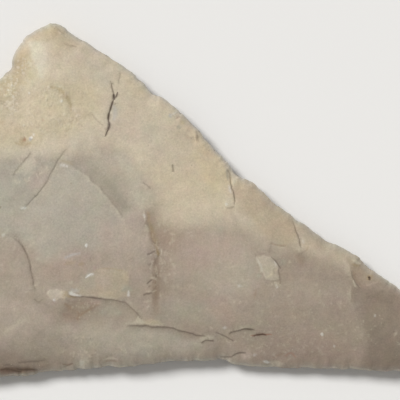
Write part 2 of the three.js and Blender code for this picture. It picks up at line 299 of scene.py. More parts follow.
# Section: the front and the back rise from a wandering edge, as in a lens, and are carved by their scars.
section = dict(
    edgeHeight=3.1, edgeWaver=0.35, edgeWaverLength=47, frontCrown=5.7, frontReach=9, backDrop=4.3,
    backReach=6.5, carveLimit=0.3, scarLeadIn=1.6,
    tangFrontHeight=5.2, tangBackHeight=0.9, tangBevelSlope=0.75, tangRampSlope=0.45,
    # large scars: pitch round the rim, length, width and depth; they vary in place and size, and in turn
    wideScar=(17, 27, 21, 0.8), trimScar=(6.4, 9, 7.4, 0.5), scarSpread=0.3, scarTurn=0.35,
    frontSeeds=(7, 21), backSeeds=(33, 48),
    # the ridges between them are paler, in a band this deep, broken by noise, and fade towards the rim
    arrisPale=0.35, arrisDepth=0.02, arrisNoise=(2.5, 94), arrisFade=(0.8, 2),
    rippleHeight=0.02, rippleLength=2.6, rippleDepth=0.2,
    # the cutting edge's bevel: height, reach, where it fades inwards, and its run-out at tang and tip
    edgeBevel=0.25, bevelReach=0.7, bevelFade=(0.5, 5), bevelEnds=(4, 8),
    # up to rimBand the distance to the rim is measured, and over rimBlend it gives way to the inset
    rimBand=5.5, rimBlend=(1.2, 3.2), retouchLimit=0.45,
    # inside the field, from left to right, the drawn lines take the place of the large scars
    drawnFrom=(-47, -39), drawnTo=(42, 50),
    # unevenness: height, size and seed, and then the roughness of crust and cream stone
    frontUneven=[(0.05, 6, 52), (0.022, 2.2, 53), (0.01, 0.9, 55)],
    backUneven=[(0.05, 6, 51), (0.022, 2.2, 53), (0.01, 0.9, 55)],
    crustRough=(0.01, 0.02, 0.7, 56), creamRough=(0.02, 1.4, 57),
)


# Large scars round the rim, with places, turns and sizes varied by a repeatable series of shares.
def ringScars(size, seed, plan):
    pitch, length, width, depth = size
    state = [seed]

    def share():
        state[0] = (state[0] * 1664525 + 1013904223) % 2**32
        return state[0] / 2**32

    vary = lambda value: value * (1 + section["scarSpread"] * (2 * share() - 1))
    count = round(plan["rimLength"] / pitch)
    scars = []
    for i in range(count):
        distance = (i + 0.5 + section["scarSpread"] * (share() - 0.5)) / count * plan["rimLength"]
        onLower = distance < plan["lengths"][0]
        half = plan["halves"][0 if onLower else 1]
        along = distances(half)
        place = distance if onLower else plan["rimLength"] - distance
        at, after = pick([place, place + 0.4], along, half)
        way = (after - at) / np.linalg.norm(after - at)
        inwards = np.array([-way[1], way[0]]) * (1 if onLower else -1)
        turn = section["scarTurn"] * (2 * share() - 1)
        way = np.array([inwards[0] * math.cos(turn) - inwards[1] * math.sin(turn),
                        inwards[0] * math.sin(turn) + inwards[1] * math.cos(turn)])
        scars.append((at, way, vary(length), vary(width), vary(depth)))
    return scars


# The deepest large scar at a place: its depth, how much deeper it is than the second deepest, and the
# distance from its start on the rim, round which its ripples run. A bowl's depth falls with the square of
# the distance from its middle, so scars meet in sharp ridges.
def scarDepth(scars, x, y):
    deepest, second, radius = np.zeros(x.shape), np.zeros(x.shape), np.zeros(x.shape)
    for at, way, length, width, depth in scars:
        fromX, fromY = x - at[0], y - at[1]
        along = bowlWay((fromX * way[0] + fromY * way[1]) / length)
        across = (fromX * way[1] - fromY * way[0]) / (width / 2)
        bowl = depth * (1 - along**2 - across**2)
        deeper = bowl > deepest
        second = np.maximum(second, np.minimum(bowl, deepest))
        deepest = np.where(deeper, bowl, deepest)
        radius = np.where(deeper, np.hypot(fromX, fromY), radius)
    return deepest, deepest - second, radius


# The field that the main camera sees: 80 mm square, in steps of 0.2 mm from its top left corner. It lies
# under the eye by the focus, and higher places look further out from its middle.
field = dict(step=0.2, left=-38.4, top=40.2, middle=(1.6, 0.2), eyeHeight=336.43, focus=333.33)


def seenFromAbove(x, y, height):
    larger = field["focus"] / (field["eyeHeight"] - height)
    middleX, middleY = field["middle"]
    return middleX + (x - middleX) * larger, middleY + (y - middleY) * larger


# Pairs of field steps, in one flat list or in rows, to millimetres.
def onField(pairs):
    u, v = np.reshape(pairs, (-1, 2)).T
    return np.column_stack([field["left"] + field["step"] * u, field["top"] - field["step"] * v])


# The places within a margin of some points' box.
def nearPoints(x, y, points, margin):
    low, high = points.min(0) - margin, points.max(0) + margin
    return (x > low[0]) & (x < high[0]) & (y > low[1]) & (y < high[1])


# Lines of the faces: at gives the points in field steps. The face drops by a step to the right of each
# line, eased over its lip, and heals over reach. Roll bends the high side down towards the line, and fall
# carries on down past it. A groove and a dark stroke may follow the line, with half widths; the dark stroke
# is partly a crack's own dark and partly painted shade at the foot of a step. A light stroke, a painted
# highlight on the lit side of a step, lies lightAt to its right, and a shade, a painted shadow on the low
# side, is a tint, its strength and its reach. Ragged widens the line's wobble. Lengths are in millimetres,
# and these are the values of a line that doesn't give its own.
plainLine = dict(
    drop=0, lip=0.3, reach=1, roll=0, rollReach=1, fall=0, fallReach=1, groove=0, grooveWidth=0.18,
    dark=0, darkWidth=0.16, tint="dark", light=0, lightAt=-0.3, lightWidth=0.2,
    shade=("umbra", 0, 1), ragged=1,
)

lines = dict(
    fanLeft=dict(at=[19, 213, 25, 207, 33, 199, 42, 188, 50, 175, 57, 161, 62, 155, 69, 145], drop=0.09,
        lip=0.35, reach=3, roll=0.05, rollReach=1.2, dark=0.22, darkWidth=0.13, light=0.35, lightAt=0.32),
    fanRight=dict(at=[127, 224, 120, 213.5, 113, 203.5, 102, 191, 93, 182, 87, 175, 75, 169, 66, 164.5],
        drop=0.11, lip=0.4, reach=4, fall=0.45, fallReach=1.8, dark=0.04, light=0.5, lightAt=-0.25,
        shade=("umbra", 0.35, 0.9)),
    mainRidge=dict(at=[150, 313, 152, 307, 154.4, 297, 155.2, 283, 154.2, 273, 155.4, 262, 157, 253,
        154, 247, 151, 240, 147.5, 230, 145, 220, 143.5, 211, 142.5, 200], drop=0.12, lip=1, reach=5,
        fall=0.34, fallReach=1.8, shade=("brown", 0.6, 1), ragged=2),
    arc=dict(at=[35.5, 297, 33, 280, 30, 265, 26, 253.5, 21.5, 245, 14.5, 238, 5, 234], drop=0.22,
        reach=2.2, roll=0.16, rollReach=0.9, dark=0.06, shade=("umbra", 0.3, 0.7)),
    arcHook=dict(at=[34, 298, 38, 302, 44, 299], drop=0.02, dark=0.33),
    shelf=dict(at=[66, 294.3, 73, 296.3, 80, 297, 87, 296.7, 100, 298.4, 112, 299.6, 120, 301.2, 126.6, 304,
        132.4, 308.2, 137.2, 313.2, 141.6, 319.2], drop=0.02, lip=0.35, reach=3.4, fall=0.41, fallReach=1.5,
        dark=0.45, darkWidth=0.12, light=0.4, lightAt=-0.35, shade=("umbra", 0.4, 0.7)),
    hinge=dict(at=[125, 326.2, 142, 325.2, 150, 326.2, 165, 327.2, 175, 329.2, 187, 332.7, 199, 335.2,
        208, 337.2], drop=0.02, lip=0.35, reach=3, roll=0.02, rollReach=0.8, fall=0.41, dark=0.5,
        light=0.35, lightAt=-0.35, shade=("umbra", 0.3, 0.6)),
    hingeTwo=dict(at=[215, 331.5, 221, 334, 227, 337.5, 234, 341.5], drop=0.02, reach=2, dark=0.5,
        darkWidth=0.13, light=0.35, lightAt=0.35),
    hingeThree=dict(at=[228, 334.6, 234, 332, 240, 329.8, 246, 328.9, 251, 329.2, 255, 330.8], drop=0.02,
        reach=2, dark=0.7, darkWidth=0.15, light=0.5, lightAt=-0.35),
    hingeFour=dict(at=[252, 335.3, 258, 335.3, 263, 334, 273, 334.3], drop=0.04, reach=2),
    hingeFive=dict(at=[201, 342.7, 207, 340.7, 214, 340.3], drop=0.02, reach=2, dark=0.7, darkWidth=0.15,
        light=0.5, lightAt=-0.4, lightWidth=0.3),
    hingeSix=dict(at=[219, 357.5, 229, 357, 234, 354.5, 240, 352.5, 247, 353], drop=0.17, reach=2, dark=0.5,
        darkWidth=0.14),
    stepEdge=dict(at=[234.7, 207, 234.7, 200, 233.7, 193, 231.7, 187, 230.7, 178, 227.7, 167], drop=0.18,
        reach=3.5, dark=0.35, light=0.35, lightAt=-0.35),
    stepHook=dict(at=[226.5, 207.5, 231, 208, 235, 206.5], drop=0.02, reach=1.5, dark=0.35),
    stepTwo=dict(at=[302, 250, 300, 244, 299, 240, 297, 234, 295, 228, 292.5, 220], drop=0.22, reach=3.5,
        dark=0.3, light=0.3, lightAt=0.35),
    leafEdge=dict(at=[279.5, 287, 277.5, 277, 278.5, 268, 277.5, 264, 273, 258, 266, 255.5], drop=0.02,
        reach=3, fall=0.36, fallReach=1.2, light=0.3, lightAt=-0.35),
    leafTop=dict(at=[262, 257, 256, 249], drop=0.02, reach=1.5, dark=0.06),
    tipRidge=dict(at=[359, 289, 357, 283, 353, 277, 350, 267, 346, 258], drop=0.07, lip=0.6, reach=5.5,
        fall=0.45, fallReach=2.5, light=0.3, shade=("umbra", 0.35, 0.8)),
    tipRidgeFoot=dict(at=[350.5, 304, 351.5, 290, 355, 284], drop=0.02, lip=0.5, reach=4, fall=0.25,
        fallReach=2, light=0.35, lightAt=-0.25, shade=("umbra", 0.3, 0.8)),
    rightBank=dict(at=[366, 368, 367, 340, 363, 315, 357, 298], drop=0.03, lip=2.4, reach=8, fall=0.27,
        fallReach=3),
    crack=dict(at=[111, 86, 114.6, 95, 112.8, 102, 110, 110, 108.5, 120, 108.7, 127, 106.3, 136],
        groove=0.1, grooveWidth=0.2),
    crackForkOne=dict(at=[114.5, 97, 117.5, 91], groove=0.05),
    crackForkTwo=dict(at=[112.5, 100.5, 117, 97], groove=0.05),
    crackTrail=dict(at=[118.5, 84, 120.7, 73], groove=0.03, dark=0.3),
    crackTwin=dict(at=[90, 112, 98, 120.5, 107, 127.5], drop=0.1, reach=1.2, dark=0.1),
    earArc=dict(at=[72, 111, 70, 103, 65.7, 95, 57, 88.3, 48, 87.3], drop=0.08, lip=0.8, reach=1.6),
    shortStep=dict(at=[142, 182.5, 146, 185, 151, 189], drop=0.02, reach=1.5, dark=0.4),
    lobeRidge=dict(at=[80, 46, 68, 39, 62, 33, 56, 26], drop=0.02, lip=0.4, reach=2, dark=0.07),
    lobeSmear=dict(at=[63, 43, 69, 46, 76, 47], drop=0.02, lip=0.5, reach=1.2, dark=0.09),
    streakEdge=dict(at=[13, 176, 22, 163, 32, 152], drop=0.02, reach=1.6, dark=0.42),
    tickOne=dict(at=[147, 254.5, 154.5, 251], groove=0.03, dark=0.54),
    tickTwo=dict(at=[148, 265.8, 152, 263.8], groove=0.02, dark=0.35),
    tickThree=dict(at=[147, 284, 150, 282, 152.7, 280], groove=0.05, dark=0.6),
    tickFour=dict(at=[143.3, 295.5, 148, 294.2, 152.5, 292.8], groove=0.04, dark=0.6),
    redLine=dict(at=[268, 242, 276, 243.5, 287, 245.5], drop=0.08, lip=0.4),
    pitLine=dict(at=[172.3, 164, 172.8, 172.5], groove=0.02, grooveWidth=0.3, dark=0.58, darkWidth=0.24),
    terrace=dict(at=[149, 216, 160, 220, 180, 224, 203, 228, 222, 234], drop=0.04, lip=3.5, reach=6,
        fall=0.1, fallReach=3),
    chipArcOne=dict(at=[178, 128, 184, 131, 189, 137], drop=0.03, reach=1.2, dark=0.04),
    chipArcTwo=dict(at=[190, 128, 194, 134, 197, 145], drop=0.12, reach=1.2, dark=0.04),
    lowShadow=dict(at=[17, 362.5, 30, 361.3, 47, 360.5], drop=0.05, dark=0.3),
    lowNick=dict(at=[63, 366.5, 68, 365, 73, 363], drop=0.05, dark=0.3),
    hookMark=dict(at=[175, 119.5, 177.5, 117, 182, 117.3], groove=0.03),
    earHook=dict(at=[0, 103, 5, 106, 9, 112], drop=0.05, reach=0.8, dark=0.2),
    yellowStreak=dict(at=[198, 153, 205, 158, 216, 160.5], light=0.6, lightAt=0, lightWidth=0.35),
    pinkStreak=dict(at=[7, 330, 15, 324.5, 23, 318], light=0.5, lightAt=0),
    bandMark=dict(at=[286, 356.6, 290.6, 352.8, 295.4, 357.6], dark=0.35, tint="rust"),
    lowChip=dict(at=[104, 361.5, 111, 358.5, 119, 361], drop=0.02, dark=0.04),
    # past the field, towards the base and on the tang
    baseArc=dict(at=[-22, 350, -36, 326, -56, 306, -80, 294, -104, 291], drop=0.14, lip=0.4, reach=3,
        roll=0.08, dark=0.12, light=0.3, shade=("umbra", 0.3, 0.8)),
    baseHinge=dict(at=[-118, 214, -98, 220, -80, 232, -68, 250, -64, 266], drop=0.12, lip=0.35, reach=3,
        dark=0.3, light=0.3, shade=("umbra", 0.25, 0.7)),
    baseStep=dict(at=[-52, 182, -38, 190, -28, 204, -24, 222], drop=0.1, lip=0.4, reach=2.5, dark=0.15,
        shade=("umbra", 0.2, 0.6)),
    baseCrack=dict(at=[-92, 330, -84, 338, -80, 348, -70, 354], groove=0.06, dark=0.5),
    tangScar=dict(at=[-104, 74, -92, 80, -82, 92, -78, 106], drop=0.1, lip=0.4, reach=2, dark=0.15,
        light=0.25, shade=("umbra", 0.25, 0.6)),
    tangTick=dict(at=[-66, 72, -60, 80, -57, 90], drop=0.06, reach=1.5, dark=0.3),
    # and towards the tip
    tipArc=dict(at=[408, 352, 414, 338, 412, 322, 404, 312], drop=0.08, lip=0.4, reach=2.5, dark=0.15,
        shade=("umbra", 0.2, 0.6)),
    tipHinge=dict(at=[424, 346, 436, 342, 450, 343, 462, 348], drop=0.06, reach=2, dark=0.4),
    tipStep=dict(at=[436, 318, 446, 326, 452, 336], drop=0.06, reach=2, dark=0.15),
)

# Lines of the back face, in field steps as if seen through the stone, with painted highlights and painted
# shade as on the front.
backLines = dict(
    longHinge=dict(at=[20, 300, 52, 286, 88, 281, 124, 286, 150, 298], drop=0.14, lip=0.4, reach=4,
        dark=0.3, light=0.3, lightAt=-0.35, shade=("umbra", 0.35, 0.9)),
    middleStep=dict(at=[168, 196, 186, 212, 196, 232, 198, 254, 192, 274], drop=0.16, lip=0.5, reach=4,
        fall=0.2, fallReach=1.6, dark=0.12, light=0.3, shade=("umbra", 0.3, 1)),
    upperArc=dict(at=[60, 96, 84, 108, 100, 128, 106, 150], drop=0.12, lip=0.4, reach=3, roll=0.06,
        dark=0.15, light=0.25, shade=("umbra", 0.25, 0.7)),
    baseArc=dict(at=[-40, 336, -54, 306, -58, 274, -48, 244], drop=0.14, lip=0.4, reach=3, roll=0.08,
        dark=0.12, light=0.3, shade=("umbra", 0.3, 0.8)),
    baseHinge=dict(at=[-116, 262, -98, 256, -82, 260, -70, 272], drop=0.1, reach=2.5, dark=0.4,
        shade=("umbra", 0.2, 0.6)),
    tipStep=dict(at=[318, 268, 330, 284, 334, 302, 330, 320], drop=0.12, lip=0.4, reach=3, fall=0.15,
        dark=0.12, light=0.3, shade=("umbra", 0.3, 0.8)),
    tipHinge=dict(at=[390, 330, 406, 326, 424, 330, 436, 338], drop=0.08, reach=2, dark=0.4),
    lowHinge=dict(at=[206, 338, 224, 331, 244, 332, 262, 340], drop=0.1, reach=2.5, dark=0.45,
        shade=("umbra", 0.2, 0.6)),
    crack=dict(at=[236, 228, 244, 240, 246, 254, 254, 266, 256, 280], groove=0.08, dark=0.8, darkWidth=0.2),
    crackFork=dict(at=[246, 254, 240, 262, 238, 272], groove=0.05, dark=0.5),
    shortStep=dict(at=[22, 176, 34, 184, 42, 196], drop=0.08, reach=1.5, dark=0.4),
)

# Broad swells of the front face: middle and half widths in field steps, turn in degrees, height in mm.
swells = [
    (352, 272, 34, 26, -35, 0.3),
    (135, 165, 40, 26, 30, 0.2),
    (85, 316, 30, 10, 0, -0.25),
]


# For each place: its distance from a line, its distance to the line's side (right is positive) and its
# share of the way along, first that of the nearest step, and then a mean over the steps, weighted by the
# inverse fourth power of the distance.
def nearLine(x, y, points):
    line = smoothCurve(points, 4)
    along = distances(line)
    nearest, side, share = np.full(x.shape, np.inf), np.zeros(x.shape), np.zeros(x.shape)
    total, shares = np.zeros(x.shape), np.zeros(x.shape)
    for i in range(len(line) - 1):
        way = line[i + 1] - line[i]
        fromX, fromY = x - line[i, 0], y - line[i, 1]
        part = np.clip((fromX * way[0] + fromY * way[1]) / (way @ way), 0, 1)
        distance = np.hypot(fromX - part * way[0], fromY - part * way[1])
        nearer = distance < nearest
        nearest = np.where(nearer, distance, nearest)
        side = np.where(nearer, np.sign(fromX * way[1] - fromY * way[0]) * distance, side)
        here = (along[i] + part * (along[i + 1] - along[i])) / along[-1]
        share = np.where(nearer, here, share)
        weight = 1 / (distance**2 + 0.01)**2
        total += weight
        shares += weight * here
    return nearest, side, share, shares / total


# An exponential fall from 1 that reaches 0 at four times its reach.
def fadeOut(distance, reach):
    floor = math.exp(-4)
    return np.maximum(0, (np.exp(-np.maximum(distance, 0) / reach) - floor) / (1 - floor))


# 1 along a line and 0 at its ends, eased over a share of its length.
def taper(share, ends, start=0.0):
    return ease(share, start, ends) * ease(1 - share, start, ends)


# How the lines wobble and how their light strokes, painted highlights, break up: sizes in mm, amounts
# and seeds.
wobble = dict(broad=(1.5, 0.14), fine=(0.6, 0.07), seeds=(61, 63), gaps=(0.9, 0.5, 65), lightBase=0.75)


# Adds every line to the height and to the strokes. A step is an eased drop over its lip that heals on the
# low side; a roll fades out on the high side; a fall deepens from the line and then fades; a groove is a
# bell. A stroke is a bell of colour on the line, partly a crack's own dark and partly painted shade; a light
# stroke is a painted highlight, a bell beside it; and a shade is a painted shadow, a tint that starts at the
# line and fades out on the low side.
def drawLines(x, y, table):
    strokeEnds, heightEnds, shadeEnds = 0.08, 0.2, 0.15  # shares of the way over which each fades
    height = np.zeros(x.shape)
    strokes = {name: np.zeros(x.shape) for name in ("dark", "rust", "pale", "umbra", "brown")}
    (broadSize, broad), (fineSize, fine) = wobble["broad"], wobble["fine"]
    wobbleX, wobbleY = (
        broad * noise(x, y, broadSize, seed) + fine * noise(x, y, fineSize, seed + 1)
        for seed in wobble["seeds"])
    gapSize, gaps, gapSeed = wobble["gaps"]
    broken = np.clip(wobble["lightBase"] + gaps * noise(x, y, gapSize, gapSeed), 0, 1)
    for line in table.values():
        line = {**plainLine, **line}
        points = onField(line["at"])
        reach, rollReach, fallReach = line["reach"], line["rollReach"], line["fallReach"]
        shadeName, shade, shadeReach = line["shade"]
        far = max(4 * reach, 4 * rollReach, 6 * fallReach if line["fall"] else 0, 4 * shadeReach)
        near = nearPoints(x, y, points, far)
        distance, side, share, meanShare = nearLine(
            x[near] + line["ragged"] * wobbleX[near], y[near] + line["ragged"] * wobbleY[near], points)
        ends = taper(share, strokeEnds)
        lowSide = ease(side, -line["lip"] / 2, line["lip"] / 2)
        drop = lowSide * fadeOut(side, reach)
        roll = (1 - lowSide) * fadeOut(-side, rollReach) + drop
        fall = (1 - np.exp(-np.maximum(side, 0) / fallReach)) * fadeOut(side, 1.5 * fallReach)
        groove = np.exp(-(distance / line["grooveWidth"])**2)
        height[near] -= ends * ease(meanShare, 0, heightEnds) * ease(1 - meanShare, 0, heightEnds) * (
            line["drop"] * drop + line["roll"] * roll + line["fall"] * fall + line["groove"] * groove)
        bell = np.exp(-(distance / line["darkWidth"])**2)
        beside = np.exp(-((side - line["lightAt"]) / line["lightWidth"])**2)
        shaded = shade * taper(share, shadeEnds) * ease(side, -0.1, 0.2) * fadeOut(side, shadeReach)
        for name, stroke in ((line["tint"], line["dark"] * ends * bell), (shadeName, shaded),
                             ("pale", line["light"] * ends * beside * broken[near])):
            strokes[name][near] = np.maximum(strokes[name][near], stroke)
    return height, strokes


def drawSwells(x, y):
    height = np.zeros(x.shape)
    for u, v, halfU, halfV, turn, rise in swells:
        (centreX, centreY), = onField([u, v])
        c, s = heading(turn)
        along = ((x - centreX) * c + (y - centreY) * s) / (halfU * field["step"])
        across = (-(x - centreX) * s + (y - centreY) * c) / (halfV * field["step"])
        height += rise * np.exp(-along**2 - across**2)
    return height


# 1 inside an outline and 0 outside it, eased over a soft border: the distance to the border, signed by
# counting how many times a line to the right crosses it.
def inPatch(x, y, border, soft):
    inside, nearest = np.zeros(x.shape, bool), np.full(x.shape, np.inf)
    for start, end in zip(border, np.roll(border, -1, 0)):
        way = end - start
        part = np.clip(((x - start[0]) * way[0] + (y - start[1]) * way[1]) / (way @ way), 0, 1)
        nearest = np.minimum(nearest, np.hypot(x - start[0] - part * way[0], y - start[1] - part * way[1]))
        if way[1] != 0:
            crossing = (start[1] > y) != (end[1] > y)
            inside ^= crossing & (x < start[0] + way[0] * (y - start[1]) / way[1])
    return ease(np.where(inside, nearest, -nearest), -soft, soft)


# Patches of the front face, by tint: how strong, the border's softness and the lift in mm, and the corners
# in field steps.
patches = dict(
    # the lobe's whitish patch: patina, and a painted sheen on it
    patina=[
        (0.85, 0.45, 0, [27, 42, 36, 40, 43, 43, 48, 52, 47, 64, 44, 72, 43, 79, 40, 78, 38, 71, 34, 64,
         31, 55]),
        (0.35, 1.2, 0, [25, 42, 42, 38, 54, 54, 50, 72, 44, 80, 36, 72, 30, 60])],
    ochre=[
        (0.2, 0.8, 0, [15, 54, 22, 50, 27, 58, 31, 70, 32, 80, 24, 80, 22, 68]),
        (0.2, 0.6, 0, [44, 30, 52, 26, 60, 29, 56, 34, 48, 33])],
    pale=[
        (0.42, 0.12, 0.05, [256, 257, 263, 255.5, 271, 257, 274.5, 260.5, 277.5, 264, 279, 267, 277.8, 272,
         279.5, 279, 274, 280.5, 266, 279.5, 264, 276, 263, 273, 260.3, 272, 260, 268, 258.5, 264,
         256.8, 262]),
        (0.62, 0.12, 0.04, [47.5, 291.2, 50, 288.8, 53, 289.8, 57, 288.4, 60.5, 290.6, 63.2, 291.6, 62, 295,
         62.6, 297.6, 58.6, 298.8, 56.4, 301, 53.6, 300.4, 50.6, 299.6, 49.2, 296.2, 46.4, 294]),
        (0.6, 0.2, 0, [200.6, 337.6, 207, 335.6, 214.6, 337.6, 211, 340.4, 203, 341.2]),
        (0.7, 0.12, 0.03, [230.5, 171, 234, 172, 238.5, 177, 236.5, 181, 233.5, 185, 231.5, 179]),
        (0.5, 0.25, 0, [271, 362, 276, 361, 283, 364, 280, 367, 273, 366]),
        (0.8, 0.15, 0, [134, 322, 138, 316, 142, 321, 146, 323, 140, 324]),
        (0.65, 0.2, 0.03, [225, 199, 229, 197, 232, 200, 232.6, 205.6, 227, 207.4, 225, 204.6]),
        (0.6, 0.2, 0, [297, 249, 300, 245, 304, 246, 303, 250, 299, 253]),
        (0.8, 0.15, 0, [351.5, 259.5, 355, 259, 361.5, 263.5, 357, 263.8]),
        (0.55, 0.3, 0, [26, 159, 31, 156, 36, 161, 35, 166, 27, 168, 18, 173, 16, 172]),
        (0.4, 0.3, 0, [170, 115, 176, 111, 180, 114, 174, 119]),
        (0.55, 0.3, 0, [4, 332, 12, 326, 23, 317, 25, 320, 14, 328, 5, 335])],
    yellow=[
        (0.4, 0.35, 0.03, [72, 288, 82, 281, 88, 276, 95, 270, 107, 268, 120, 270, 128, 271.5, 128.5, 281,
         128.5, 290, 128, 297, 113, 299, 100, 297, 80, 295]),
        (0.55, 0.3, 0, [121, 271.5, 128.3, 272, 128.6, 283, 122, 282]),
        (0.65, 0.3, 0, [96, 291, 112, 291, 113, 297.5, 98, 297]),
        (0.5, 0.2, 0, [142, 320, 158, 320, 164, 325, 150, 325, 141, 324])],
    green=[
        (0.6, 0.8, 0, [80, 279, 90, 274, 96, 275, 97, 290, 84, 292, 77, 289])],
    pink=[
        (0.5, 0.6, 0, [98, 276, 110, 276, 112, 287, 100, 288])],
    straw=[
        (0.8, 0.25, 0.02, [59, 289.6, 66, 290.6, 67, 294.6, 64, 298.4, 60, 298])],
    bluish=[
        (0.7, 0.15, 0, [70, 288.5, 75, 289, 78.5, 290, 79, 293.5, 74, 292.5, 70, 291])],
    white=[
        (0.7, 0.1, 0, [69, 292.7, 71, 291.2, 74, 293.5, 79, 295.5, 80.5, 296.8, 74, 296.2, 70, 295]),
        (0.6, 0.1, 0, [128, 290.5, 129.2, 290.5, 129.4, 296.5, 127.2, 296.7]),
        (0.6, 0.12, 0, [263, 361, 266.5, 360.4, 270, 362.7, 268, 363.8, 264.5, 362.8])],
    # painted shade to the right of the main ridge and of the tip's ridge
    umbra=[
        (0.55, 0.35, 0, [152, 277, 156, 273, 160, 276, 161, 290, 160, 302, 156, 308, 153.5, 302, 152, 290]),
        (0.4, 0.3, 0, [148, 223, 152, 222, 157, 234, 160, 246, 158, 252, 153, 242, 150, 233]),
        (0.6, 0.35, 0, [354, 288, 358, 287, 366, 291, 372, 300, 368, 308, 356, 305, 351.5, 302, 351, 295])],
    # brown stone, and painted shade right of the tip's ridge and under the shelf
    brown=[
        (0.3, 0.5, 0, [351, 266, 356, 262, 364, 268, 370, 276, 368, 288, 360, 288, 354, 280]),
        (0.35, 0.4, 0, [296, 256, 302, 255, 304, 260, 302, 266, 297, 265]),
        (0.4, 0.9, 0, [63, 304, 80, 301, 98, 302, 92, 310, 80, 321, 66, 322])],
    stain=[
        (0.8, 0.7, 0, [-30, 370, 0, 368, 12, 366.5, 30, 367.5, 36, 370.5, 20, 374, 0, 375, -30, 377])],
)

